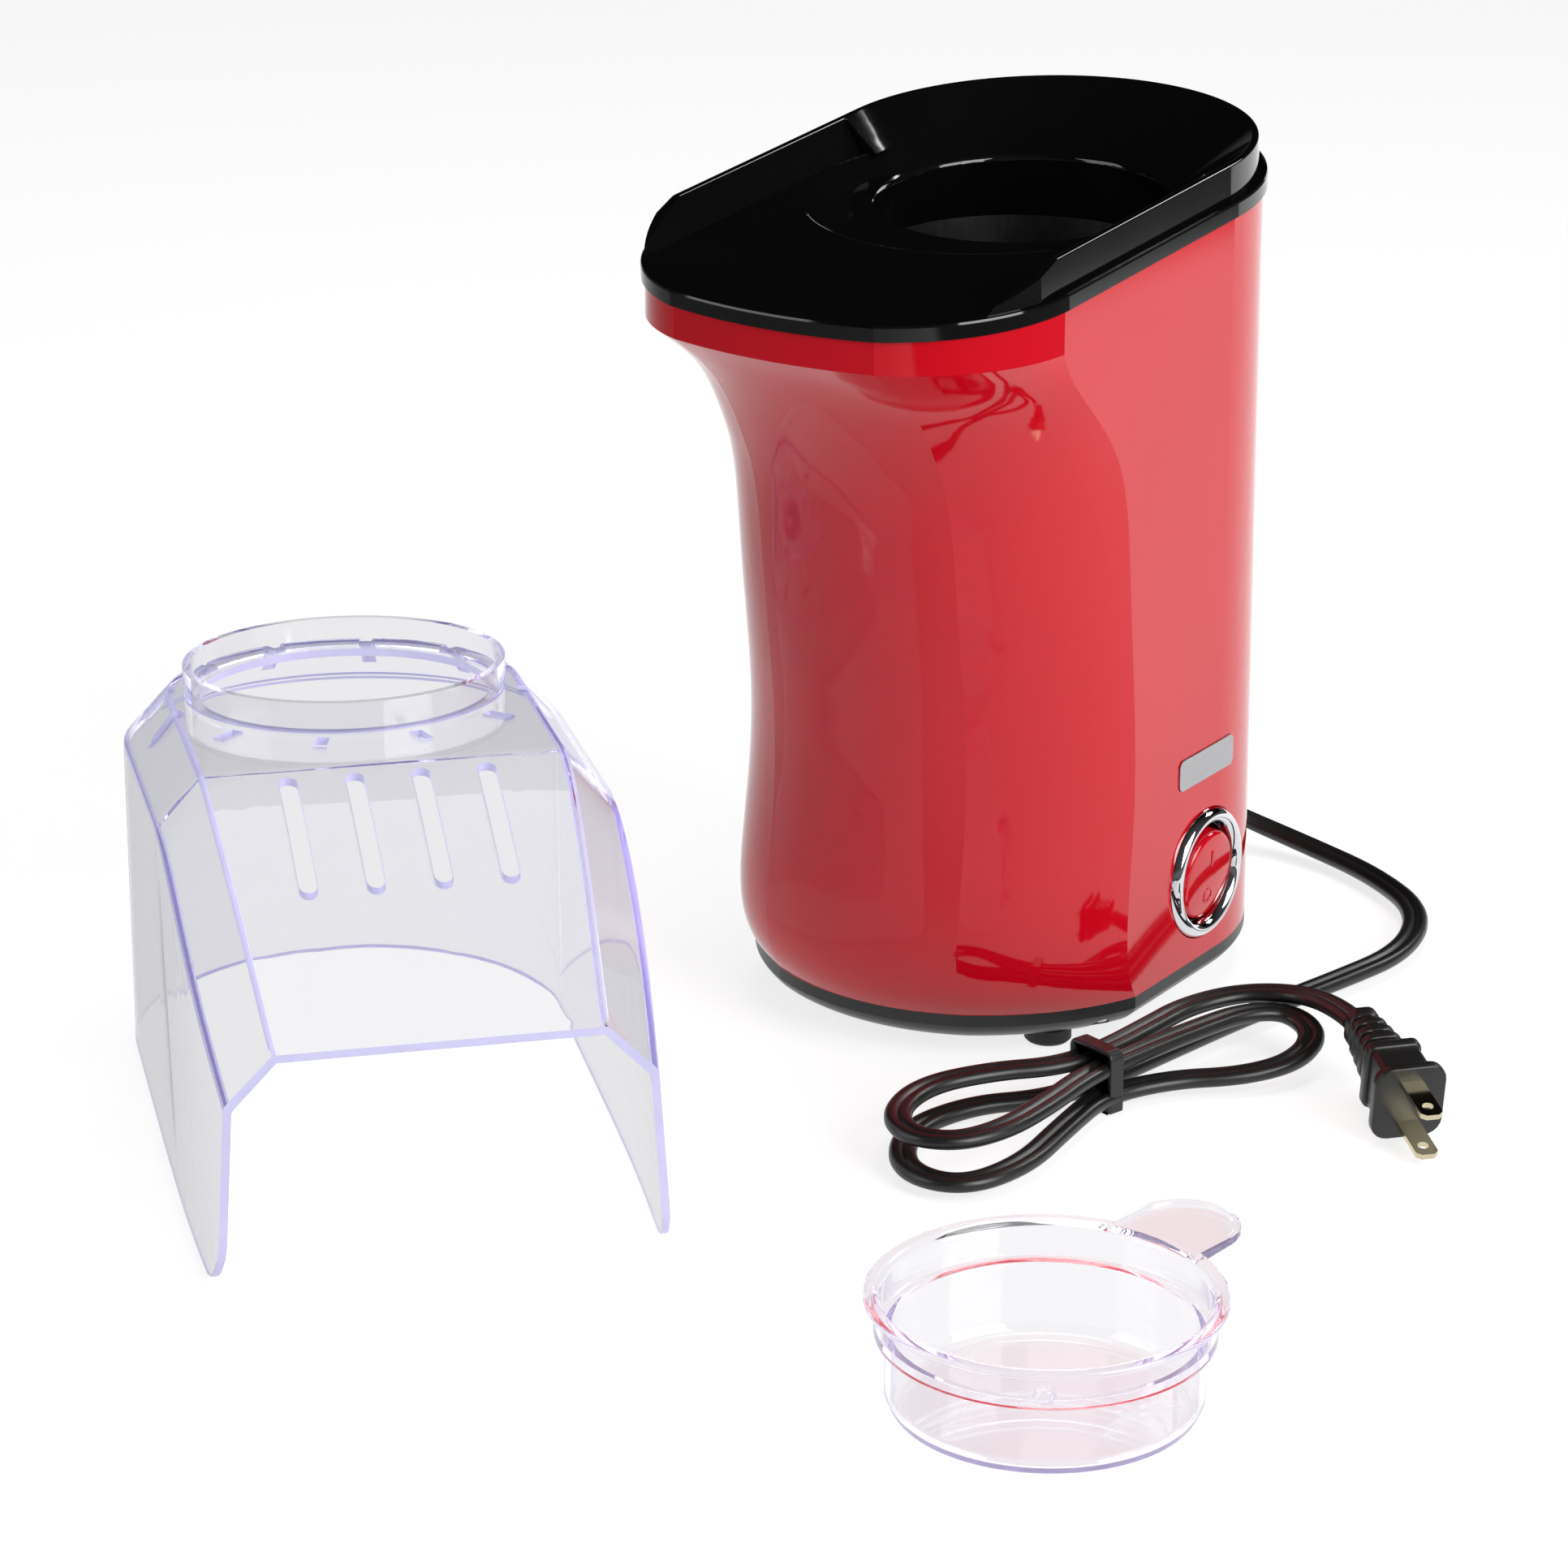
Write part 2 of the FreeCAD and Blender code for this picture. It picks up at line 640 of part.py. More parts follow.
cap = rod(motor_radius, cap_bottom, motor_bottom, 0, axis_y).cut(rod(bush_radius, 0, 100, 0, axis_y))
save("motor_end_cap", cap)
ring = tube(mi - magnet_thick, mi, rotor_bottom - 1, rotor_bottom + rotor_height + 1, 0, axis_y)
keep = [box(-40, 40, axis_y + 5, axis_y + 40, 0, 100), box(-40, 40, axis_y - 40, axis_y - 5, 0, 100)]
save("motor_magnets", Part.makeCompound([ring.common(k).Solids[0] for k in keep]))
rotor_radius = mi - magnet_thick - air_gap
core = rod(rotor_radius, rotor_bottom, rotor_bottom + rotor_height, 0, axis_y)
slot_cut = box(4.5, 20, axis_y - 1.2, axis_y + 1.2, 0, 100)
core = core.cut(Part.makeCompound([around(slot_cut, a) for a in (30, 150, 270)]))
core = core.cut(rod(shaft_radius, 0, 100, 0, axis_y))
save("rotor_core", core)
winding_starts = (rotor_bottom - winding_height, rotor_bottom + rotor_height)
ends = [tube(4.2, rotor_radius - 1.2, z0, z0 + winding_height, 0, axis_y) for z0 in winding_starts]
save("rotor_windings", Part.makeCompound(ends))
bars = tube(shaft_radius, commutator_radius, motor_bottom + 0.6, rotor_bottom, 0, axis_y)
neck_cut = tube(3.5, 9, rotor_bottom - winding_height - 0.2, 100, 0, axis_y)
save("commutator", bars.cut(neck_cut))

# Rectifier on the motor's end cap.
board_thick = 1.6
board_top = cap_bottom
board = rod(motor_radius - 0.5, board_top - board_thick, board_top, 0, axis_y)
board = board.cut(rod(bush_radius + 1.0, 0, 100, 0, axis_y))
save("rectifier_board", board)
diode = rodX(1.4, 6.0, 11.0, axis_y, board_top - board_thick - 1.4)
save("rectifier_diodes", Part.makeCompound([around(diode, a) for a in (45, 135, 225, 315)]))

# Base tray with rounded underside, intake grille, pillars for the duct and a locating lip.
tray_steps = [
    (shell_bottom - tray_band, 0.0), (8.2, 1.6), (6.0, 4.6), (4.4, 8.6), (tray_bottom, 13.5),
]
side_part = slab(base_level, 0.0, shell_bottom - tray_band, shell_bottom)
under = Part.makeLoft([bodyOutline(base_level, i, z) for z, i in tray_steps], True)
inside_steps = [
    (shell_bottom + 1, shell_wall), (shell_bottom - tray_band, shell_wall + 0.4), (8.6, 4.6),
    (tray_bottom + tray_floor, 13.5),
]
hollow_low = Part.makeLoft([bodyOutline(base_level, i, z) for z, i in inside_steps], True, True)
lip_low = shell_wall + fit_gap
lip = slab(base_level, lip_low, shell_bottom - 2, shell_bottom + 5)
lip = lip.cut(slab(base_level, lip_low + 1.8, 0, 40))
tray = side_part.fuse(under).cut(hollow_low)
columns = [rod(boss_radius + 0.6, tray_bottom + 1.0, shell_bottom, x, y) for x, y in bosses]
pillar = rod(pillar_radius, tray_bottom + 1.0, duct_bottom, pillar_circle, axis_y)
pillars = [around(pillar, a) for a in pillar_angles]
lip = lip.cut(Part.makeCompound([rod(boss_radius + fit_gap, shell_bottom, 60, x, y) for x, y in bosses]))
inside_envelope = side_part.fuse(under).fuse(slab(base_level, shell_wall, shell_bottom - 1, 60))
columns = [c.common(inside_envelope) for c in columns]
tray = fuse([tray, lip] + columns + pillars)
for x, y in bosses:
    tray = tray.cut(rod(screw_radius + 0.2, 0, shell_bottom + 1, x, y))
    tray = tray.cut(rod(screw_head_radius + 0.3, 0, shell_bottom - base_screw_sink, x, y))
for angle in pillar_angles:
    tray = tray.cut(around(rod(screw_radius + 0.1, 0, duct_bottom + 1, pillar_circle, axis_y), angle))
    sink = rod(screw_head_radius + 0.2, 0, duct_bottom - duct_screw_sink, pillar_circle, axis_y)
    tray = tray.cut(around(sink, angle))
for x, y in feet:
    tray = tray.cut(rod(foot_radius + 0.2, -1, tray_bottom + foot_pocket, x, y))
pitch = grille_bar + grille_slot
half_count = int(grille_radius / pitch)
slots = []
for i in range(-half_count, half_count + 1):
    reach = math.sqrt(max(grille_radius ** 2 - (i * pitch) ** 2, 1.0))
    left = i * pitch - grille_slot / 2
    slot_top = tray_bottom + tray_floor + 1
    slots.append(box(left, left + grille_slot, axis_y - reach, axis_y + reach, 0, slot_top))
tray = tray.cut(Part.makeCompound(slots))
flange_radius = bush_root + bush_flange
wall_y = back_radius - shell_wall
tray = tray.cut(rodY(flange_radius + fit_gap, wall_y - 8.0, wall_y, 0, cord_exit_z))
save("base_tray", tray)
foot = [rod(foot_radius, 0, tray_bottom + foot_pocket, x, y) for x, y in feet]
foot = [f.makeChamfer(0.8, [e for e in f.Edges if e.BoundBox.ZMax < 0.1]) for f in foot]
save("rubber_feet", Part.makeCompound(foot))
base_tip = shell_bottom + base_screw_grip
base_seat = shell_bottom - base_screw_sink
save("base_screws", Part.makeCompound([screw(base_tip, base_seat, x, y) for x, y in bosses]))
duct_screw = screw(duct_bottom + duct_screw_grip, duct_bottom - duct_screw_sink, pillar_circle, axis_y)
save("duct_screws", Part.makeCompound([around(duct_screw, a) for a in pillar_angles]))

# Round rocker switch with its chrome bezel, barrel, pivot and tabs.
bezel_mid = (bezel_radius + bezel_bore) / 2
bezel_front = bezel_seat + bezel_proud
bezel = turnedX([
    (bezel_bore, bezel_seat), (bezel_radius, bezel_seat), (bezel_radius, bezel_seat + 1.6),
    (bezel_radius - 0.9, bezel_front - 0.7), (bezel_mid + 0.8, bezel_front), (bezel_mid - 0.6, bezel_front),
    (bezel_bore + 0.7, bezel_front - 0.7), (bezel_bore, bezel_front - 1.6),
], switch_y, switch_z)
save("switch_bezel", bezel)
barrel = rodX(switch_barrel, switch_back, bezel_seat, switch_y, switch_z)
cavity_back = pivot_x - 8.0
barrel = barrel.cut(rodX(bezel_bore, cavity_back, 80, switch_y, switch_z))
barrel = barrel.cut(rodY(pivot_radius, -60, 60, pivot_x, switch_z))
save("switch_body", barrel)
pivot_half = math.sqrt(switch_barrel ** 2 - pivot_radius ** 2) - 0.2
save("switch_pivot", rodY(pivot_radius, switch_y - pivot_half, switch_y + pivot_half, pivot_x, switch_z))
rocker_back = pivot_x - 3.2
back_r = math.sqrt(rocker_ball ** 2 - (rocker_back - pivot_x) ** 2)
front_r = math.sqrt(rocker_ball ** 2 - (rocker_front - pivot_x) ** 2)
zone = Part.Wire([
    Part.makeLine(V(rocker_back, 0, 0), V(rocker_back, 0, back_r)),
    Part.Arc(V(rocker_back, 0, back_r), V(pivot_x, 0, rocker_ball), V(rocker_front, 0, front_r)).toShape(),
    Part.makeLine(V(rocker_front, 0, front_r), V(rocker_front, 0, 0)),
    Part.makeLine(V(rocker_front, 0, 0), V(rocker_back, 0, 0)),
])
rocker = Part.Face(zone).revolve(V(0, 0, 0), V(1, 0, 0), 360)
rocker.translate(V(0, switch_y, switch_z))
for sign in (-1, 1):
    wedge = box(0, 30, -60, 60, 0, 40)
    wedge.translate(V(rocker_front - 0.6, 0, switch_z if sign > 0 else switch_z - 40))
    wedge.rotate(V(rocker_front - 0.6, 0, switch_z), V(0, 1, 0), sign * rocker_tip)
    rocker = rocker.cut(wedge)
rocker = rocker.cut(rodY(pivot_radius + running_gap, -60, 60, pivot_x, switch_z))
rocker.rotate(V(pivot_x, 0, switch_z), V(0, 1, 0), rocker_tip)
save("switch_rocker", rocker.removeSplitter())
tab_levels = (switch_z - tab_rise, switch_z + tab_rise)
tab_strip = box(switch_back - 9, switch_back, switch_y - tab_half, switch_y + tab_half, -0.4, 0.4)
tabs = [tab_strip.translated(V(0, 0, z)) for z in tab_levels]
save("switch_terminals", Part.makeCompound(tabs))
save("badge_plate", badgeBlock(badge_seat, badge_seat + badge_thick, 0.0))


# Cord: straight runs joined by tangent arcs.
def routeWire(points):
    pts = [V(*p) for p in points]
    edges = []
    radii = []
    start = pts[0]
    for i in range(1, len(pts) - 1):
        a = pts[i].sub(pts[i - 1])
        b = pts[i + 1].sub(pts[i])
        turn = a.getAngle(b)
        reach = 0.45 * min(a.Length, b.Length)
        radii.append(reach / math.tan(turn / 2))
        a.normalize()
        b.normalize()
        p = pts[i].sub(a * reach)
        q = pts[i].add(b * reach)
        middle = p.add(q) * 0.5
        to_corner = pts[i].sub(middle)
        r = radii[-1]
        sag = r / math.cos(turn / 2) - r
        to_corner.normalize()
        edges.append(Part.LineSegment(start, p).toShape())
        edges.append(Part.Arc(p, pts[i].sub(to_corner * sag), q).toShape())
        start = q
    edges.append(Part.LineSegment(start, pts[-1]).toShape())
    return Part.Wire(edges), radii


def lobes(at, along):
    side = along.cross(V(0, 0, 1))
    side.normalize()
    up = side.cross(along)
    up.normalize()
    groove = math.sqrt(lobe_radius ** 2 - (lobe_spacing / 2) ** 2)
    left = at.sub(side * groove)
    right = at.add(side * groove)
    top = at.add(up * (lobe_spacing / 2 + lobe_radius))
    bottom = at.sub(up * (lobe_spacing / 2 + lobe_radius))
    return Part.Wire([Part.Arc(left, top, right).toShape(), Part.Arc(right, bottom, left).toShape()])


def cordAlong(name, points):
    wire, radii = routeWire(points)
    first = V(*points[0])
    along = V(*points[1]).sub(first)
    along.normalize()
    maker = Part.BRepOffsetAPI.MakePipeShell(wire)
    maker.add(lobes(first, along))
    maker.build()
    maker.makeSolid()
    print(name, "arc radii", [round(r, 1) for r in radii], "length", round(wire.Length, 1))
    return maker.shape(), wire


def leastGap(wire, skip):
    count = int(wire.Length / 3)
    pts = wire.discretize(count)
    best = 1e9
    for i in range(count):
        for j in range(i + skip, count):
            d = pts[i].sub(pts[j])
            flat = math.hypot(d.x, d.y) - 2 * lobe_radius
            level = abs(d.z) - lobe_spacing - 2 * lobe_radius
            best = min(best, max(flat, level))
    return best


lead, lead_wire = cordAlong("cord_lead", lead_route)
hank, hank_wire = cordAlong("cord_hank", hank_route)
tail, tail_wire = cordAlong("cord_tail", tail_route)
save("cord_lead", lead)
save("cord_hank", hank)
save("cord_tail", tail)
print("hank least gap to itself", round(leastGap(hank_wire, 12), 2))
bush_start = back_radius - 1.0
bush = Part.makeCone(bush_root, bush_tip, bush_length, V(0, bush_start, cord_exit_z), V(0, 1, 0))
bush = bush.cut(made["housing_shell"])
neck = rodY(bush_tip + 0.6, back_radius - shell_wall - 2.5, bush_start + 2, 0, cord_exit_z)
flange = rodY(flange_radius, back_radius - shell_wall - 4.5, back_radius - shell_wall - 1.6, 0, cord_exit_z)
bush = fuse([bush, neck, flange.cut(made["housing_shell"])])
bush = bush.cut(lead)
save("cord_bush", bush)

# Inner leads: cord to switch, switch to heater, cord to heater.
def innerLead(points):
    wire, radii = routeWire(points)
    along = V(*points[1]).sub(V(*points[0]))
    maker = Part.BRepOffsetAPI.MakePipeShell(wire)
    maker.add(Part.Wire(Part.makeCircle(lead_radius, V(*points[0]), along)))
    maker.build()
    maker.makeSolid()
    return maker.shape()


wire_end_y = cord_end_y - 0.05
upper = cord_exit_z + lobe_spacing / 2
lower = cord_exit_z - lobe_spacing / 2
tab_x = switch_back - 6.0
tab_edge = switch_y + tab_half
feed = math.radians(feed_angle)
feed_x = (can_radius + lead_radius / 2) * math.cos(feed)
feed_y = (can_radius + lead_radius / 2) * math.sin(feed)
rise_x = (can_flange_radius + 2 * lead_radius + 1.0) * math.cos(feed)
rise_y = (can_flange_radius + 2 * lead_radius + 1.0) * math.sin(feed)
save("live_lead", innerLead([
    (0, wire_end_y, upper), (0, wire_end_y - 11, upper), (20, wire_end_y - 17, upper + 5),
    (34, 26, upper + 12), (tab_x, 8, switch_z + tab_rise - 1), (tab_x, tab_edge, switch_z + tab_rise),
]))
save("switched_lead", innerLead([
    (tab_x - 1, switch_y - tab_half, switch_z - tab_rise),
    (tab_x - 2, switch_y - 16, switch_z - tab_rise + 1),
    (rise_x - 2, axis_y + rise_y + 6, duct_bottom - 8), (rise_x, axis_y + rise_y, duct_bottom + 12),
    (rise_x, axis_y + rise_y, can_bottom + 9), (feed_x, axis_y + feed_y, can_bottom + 18),
]))
save("neutral_lead", innerLead([
    (0, wire_end_y, lower), (0, wire_end_y - 11, lower), (-20, wire_end_y - 17, lower + 7),
    (-rise_x + 1, axis_y - rise_y + 3, duct_bottom - 12), (-rise_x, axis_y - rise_y, duct_bottom + 12),
    (-rise_x, axis_y - rise_y, can_bottom + 9), (-feed_x, axis_y - feed_y, can_bottom + 18),
]))

# Tie round the four passes of the hank.
tie_half_x = 2 * lobe_radius + tie_slack
tie_low = 0.1
tie_top = high + lobe_spacing / 2 + lobe_radius + 0.5
tie_out_x = tie_half_x + tie_wall
tie = box(-tie_out_x, tie_out_x, -tie_width / 2, tie_width / 2, tie_low - 0.05, tie_top + tie_wall)
tie_long = [e for e in tie.Edges if abs(e.tangentAt(e.FirstParameter).y) > 0.9]
tie = tie.makeFillet(2.6, [e for e in tie_long if e.BoundBox.ZMin > 5])
tie_hole_box = box(-tie_half_x, tie_half_x, -tie_width, tie_width, tie_low + 0.05, tie_top)
tie = tie.cut(tie_hole_box)
tie.rotate(V(0, 0, 0), V(0, 0, 1), -tie_turn)
tie.translate(V(tie_at[0], tie_at[1], 0))
tie = tie.cut(hank)
save("cord_tie", tie)

# Two-pin plug with ribbed relief, standing on its narrow side.
def plugPlace(shape):
    copy = shape.copy()
    copy.rotate(V(0, 0, 0), V(0, 1, 0), plug_dip)
    copy.rotate(V(0, 0, 0), V(0, 0, 1), plug_heading)
    copy.translate(V(*plug_nose))
    return copy


body = box(-plug_length, 0, -plug_width / 2, plug_width / 2, -plug_height / 2, plug_height / 2)
body = body.makeFillet(plug_round, [e for e in body.Edges if abs(e.tangentAt(e.FirstParameter).x) > 0.9])
back_half = lobe_radius + 2.6
relief = []
for i in range(relief_rings):
    step = relief_length / relief_rings
    x = -plug_length - i * step
    grow = 3.4 * (1 - i / relief_rings)
    relief.append(rodX(back_half + 1.6 + grow * 0.5, x - step * 0.62, x + 0.2, 0, 0))
    relief.append(rodX(back_half + grow * 0.35, x - step, x + 0.2, 0, 0))
body = plugPlace(fuse([body] + relief))
body = body.cut(tail)
blade_one = box(-6, blade_length, -blade_width / 2, blade_width / 2, -blade_thick / 2, blade_thick / 2)
blade_tip = [e for e in blade_one.Edges if e.BoundBox.XMin > blade_length - 0.1]
blade_one = blade_one.makeChamfer(1.4, [e for e in blade_tip if abs(e.tangentAt(e.FirstParameter).z) > 0.9])
blade_one = blade_one.cut(rod(1.6, -5, 5, blade_length - 4.5, 0))
pins = []
for sign in (-1, 1):
    pin = blade_one.copy()
    pin.translate(V(0, 0, sign * blade_spacing / 2))
    pins.append(plugPlace(pin))
save("plug_body", body.cut(Part.makeCompound(pins)))
save("plug_blades", Part.makeCompound(pins))


# Clear hood: straight-sided, round-backed, sloped front with an open mouth.
def hoodWire(radius, height, slope):
    q = radius * math.sqrt(0.5)
    flat = [
        (radius, 0), (q, q), (0, radius), (-q, q), (-radius, 0),
        (-radius, -hood_break), (radius, -hood_break),
    ]
    p = [V(x, y, height - slope * y) for x, y in flat]
    return Part.Wire([
        Part.Arc(p[0], p[1], p[2]).toShape(), Part.Arc(p[2], p[3], p[4]).toShape(),
        Part.makeLine(p[4], p[5]), Part.makeLine(p[5], p[6]), Part.makeLine(p[6], p[0]),
    ])


def hoodForm(inset, drop, low_z, extra):
    rear = Part.makeLoft([
        hoodWire(hood_radius - inset, low_z, 0.0),
        hoodWire(hood_ridge_radius - inset, hood_ridge_height - drop * 0.6, hood_slope),
        hoodWire(hood_roof_radius - inset * 0.5, hood_roof_height - drop, hood_slope),
    ], True, True)
    wires = []
    rise = hood_slope * hood_break
    joint = (
        hood_break, hood_radius, hood_ridge_radius, hood_ridge_height + rise, hood_roof_radius,
        hood_roof_height + rise,
    )
    for forward, foot_half, ridge_half, ridge_z, panel_half, panel_z in [joint] + hood_sections:
        sides = (
            (foot_half - inset, low_z), (ridge_half - inset, ridge_z - drop * 0.6),
            (panel_half - inset * 0.5, panel_z - drop),
        )
        pts = [V(-x, -forward, z) for x, z in sides]
        pts += [V(x, -forward, z) for x, z in reversed(sides)]
        wires.append(Part.makePolygon(pts + pts[:1]))
    front = Part.makeLoft(wires, True)
    form = rear.fuse(front)
    if extra:
        mouth = Part.Face(wires[-1]).extrude(V(0, -extra, 0))
        form = form.fuse(mouth)
    return form


def onRoof(shape):
    copy = shape.copy()
    copy.rotate(V(0, 0, 0), V(1, 0, 0), -hood_tilt)
    copy.translate(V(0, 0, hood_roof_height))
    return copy


hood = hoodForm(0.0, 0.0, 0.0, 0.0)
ring_y = -ring_forward
ring_bore = ring_radius - hood_wall
hood = hood.fuse(onRoof(rod(ring_radius, -1.0, ring_height, 0, ring_y)))
hood = hood.cut(hoodForm(hood_wall, hood_wall, -1.0, 5.0))
hood = hood.cut(onRoof(rod(ring_bore, 0, ring_height + 5, 0, ring_y)))
hood = hood.cut(onRoof(rod(ring_hole, -20, 5, 0, ring_y)))
corner = box(-80, 80, -hood_front - 5, -hood_front + hood_tip_round, -5, hood_tip_round)
tip_y = -hood_front + hood_tip_round
corner = corner.cut(rodX(hood_tip_round, -80, 80, tip_y, hood_tip_round))
hood = hood.cut(corner)
long_slots = []
for i in range(hood_slots):
    x = (i - (hood_slots - 1) / 2) * hood_slot_pitch
    half = hood_slot_width / 2
    long_slots.append(box(x - half, x + half, -hood_slot_to + half, -hood_slot_from - half, 60, 140))
    long_slots.append(rod(half, 60, 140, x, -hood_slot_to + half))
    long_slots.append(rod(half, 60, 140, x, -hood_slot_from - half))
for piece in long_slots:
    hood = hood.cut(piece)
vent = box(vent_from, vent_to, ring_y - vent_width / 2, ring_y + vent_width / 2, 70, 140)
vent_count = int(360 / vent_step)
for i in range(vent_count):
    hood = hood.cut(around(vent, i * vent_step + vent_step / 2, 0, ring_y))
hood.rotate(V(0, 0, 0), V(0, 0, 1), hood_turn)
hood.translate(V(hood_at[0], hood_at[1], 0))
save("hood", hood)

# Clear measuring cup: stepped wall, rolled rim and a flat handle with a raised border.
step_z = cup_height - cup_step
cw = cup_wall
cup = turned([
    (0, 0), (cup_lower_radius - cup_corner, 0), (cup_lower_radius - cup_corner * 0.3, cup_corner * 0.3),
    (cup_lower_radius, cup_corner), (cup_lower_radius, step_z), (cup_upper_radius, step_z),
    (cup_upper_radius, cup_height - 2.6), (cup_rim_radius, cup_height - 1.6), (cup_rim_radius, cup_height),
    (cup_upper_radius - cw + 1.2, cup_height), (cup_upper_radius - cw, cup_height - 1.6),
    (cup_upper_radius - cw, step_z + cw), (cup_lower_radius - cw, step_z + cw),
    (cup_lower_radius - cw, cup_corner),
    (cup_lower_radius - cw - cup_corner * 0.3, cup_corner * 0.3 + cw * 0.6),
    (cup_lower_radius - cup_corner - cw * 0.4, cw), (0, cw),
])
half = handle_width / 2
end_r = half
grip = box(-half, half, 0, handle_reach - end_r, cup_height - handle_thick, cup_height)
grip = grip.fuse(rod(end_r, cup_height - handle_thick, cup_height, 0, handle_reach - end_r))
inner_half = half - handle_border
tray_cut = box(-inner_half, inner_half, 0, handle_reach - end_r, cup_height - 1.0, cup_height + 1)
tray_end = rod(end_r - handle_border, cup_height - 1.0, cup_height + 1, 0, handle_reach - end_r)
tray_cut = tray_cut.fuse(tray_end)
grip = grip.cut(tray_cut).cut(rod(cup_upper_radius - cw / 2, -1, 60))
lug_foot = V(0, -cup_upper_radius + cw / 2, step_z + 4.2)
lug = Part.makeCylinder(lug_radius, lug_proud + cw / 2, lug_foot, V(0, -1, 0))
lug = around(lug, lug_angle, 0, 0)
cup = fuse([cup, grip, lug])
cup.rotate(V(0, 0, 0), V(0, 0, 1), cup_turn)
cup.translate(V(cup_at[0], cup_at[1], 0))
save("measuring_cup", cup)

cords = ("cord_lead", "cord_hank", "cord_tail", "cord_tie", "plug_body", "plug_blades", "cord_bush")
whole = Part.makeCompound([s for n, s in made.items() if n not in cords]).BoundBox
print("box", [round(v, 2) for v in (whole.XMin, whole.XMax, whole.YMin, whole.YMax, whole.ZMin, whole.ZMax)])
print("nodes", len(made))
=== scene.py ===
import bmesh
import bpy
import json
import math
from mathutils import Matrix, Vector


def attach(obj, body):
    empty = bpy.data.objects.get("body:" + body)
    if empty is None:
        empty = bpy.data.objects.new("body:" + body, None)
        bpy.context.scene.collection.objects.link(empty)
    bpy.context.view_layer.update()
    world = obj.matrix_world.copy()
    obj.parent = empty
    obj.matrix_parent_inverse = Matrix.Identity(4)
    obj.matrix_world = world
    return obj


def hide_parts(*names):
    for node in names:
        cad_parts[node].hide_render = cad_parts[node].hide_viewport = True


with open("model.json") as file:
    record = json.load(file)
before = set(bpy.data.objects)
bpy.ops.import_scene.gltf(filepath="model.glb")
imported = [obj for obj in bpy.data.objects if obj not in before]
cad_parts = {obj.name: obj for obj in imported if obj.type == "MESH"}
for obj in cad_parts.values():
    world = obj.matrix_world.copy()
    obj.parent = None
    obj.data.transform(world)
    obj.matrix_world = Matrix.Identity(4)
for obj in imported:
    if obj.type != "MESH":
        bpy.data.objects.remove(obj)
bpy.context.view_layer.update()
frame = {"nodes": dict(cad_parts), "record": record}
nodes = frame["nodes"]
mm = 0.001
bodyOrigin = (-8.0, 118.3, 0.0)  # where the middle of the body's round back stands in the row frame, mm
# what counts as touching, as one point, as flat, as facing along an axis and as one smooth surface
near = {"touchMm": 0.01, "mergeMm": 0.002, "flatDegrees": 0.15, "facing": 0.9, "smoothDegrees": 50}


def place(x, y, z):
    return Vector(((x + bodyOrigin[0]) * mm, (y + bodyOrigin[1]) * mm, (z + bodyOrigin[2]) * mm))


def linear(hexColour):
    parts = [int(hexColour[i:i + 2], 16) / 255 for i in (1, 3, 5)]
    return tuple(c / 12.92 if c <= 0.04045 else ((c + 0.055) / 1.055) ** 2.4 for c in parts) + (1.0,)


def addNode(tree, kind, settings=None, values=None, links=None):
    node = tree.nodes.new(kind)
    for key, value in (settings or {}).items():
        setattr(node, key, value)
    for key, value in (values or {}).items():
        node.inputs[key].default_value = value
    for key, socket in (links or {}).items():
        tree.links.new(socket, node.inputs[key])
    return node


def startMaterial(name, values):
    mat = bpy.data.materials.new(name)
    mat.use_nodes = True
    shader = mat.node_tree.nodes["Principled BSDF"]
    for key, value in values.items():
        shader.inputs[key].default_value = value
    return mat, shader


def perMetre(sizeMm):
    return 1.0 / (sizeMm * mm)  # a noise cell of that many millimetres


# What the opaque finishes share: tone and gloss follow one noise, the bump follows another.
def paintSurface(tree, shader, s, drift, skin):
    tone = addNode(tree, "ShaderNodeMix", {"data_type": "RGBA"}, {}, {"Factor": drift.outputs["Fac"]})
    tone.inputs["A"].default_value = linear(s["dark"])
    tone.inputs["B"].default_value = linear(s["light"])
    gloss = addNode(tree, "ShaderNodeMapRange", {},
                    {"To Min": s["rough"] - s["roughSpread"], "To Max": s["rough"] + s["roughSpread"]},
                    {"Value": drift.outputs["Fac"]})
    bump = addNode(tree, "ShaderNodeBump", {}, {"Strength": s["skin"], "Distance": s["skinDepthMm"] * mm},
                   {"Height": skin.outputs["Fac"]})
    tree.links.new(tone.outputs["Result"], shader.inputs["Base Color"])
    tree.links.new(gloss.outputs["Result"], shader.inputs["Roughness"])
    tree.links.new(bump.outputs["Normal"], shader.inputs["Normal"])


# Moulded or rubbery finishes: a slow drift of tone, a fine skin in the bump, gloss that varies a little.
def mouldedFinish(name, s):
    mat, shader = startMaterial(name, {
        # painted glow: emission in the light tone, zero unless a finish asks for it
        "IOR": s["ior"], "Emission Color": linear(s["light"]), "Emission Strength": s.get("paintedGlow", 0.0),
    })
    tree = mat.node_tree
    coords = addNode(tree, "ShaderNodeTexCoord")
    drift = addNode(tree, "ShaderNodeTexNoise", {}, {"Scale": perMetre(s["driftMm"]), "Detail": 2.0},
                    {"Vector": coords.outputs["Object"]})
    skin = addNode(tree, "ShaderNodeTexNoise", {}, {"Scale": perMetre(s["skinMm"]), "Detail": 3.0},
                   {"Vector": coords.outputs["Object"]})
    paintSurface(tree, shader, s, drift, skin)
    return mat


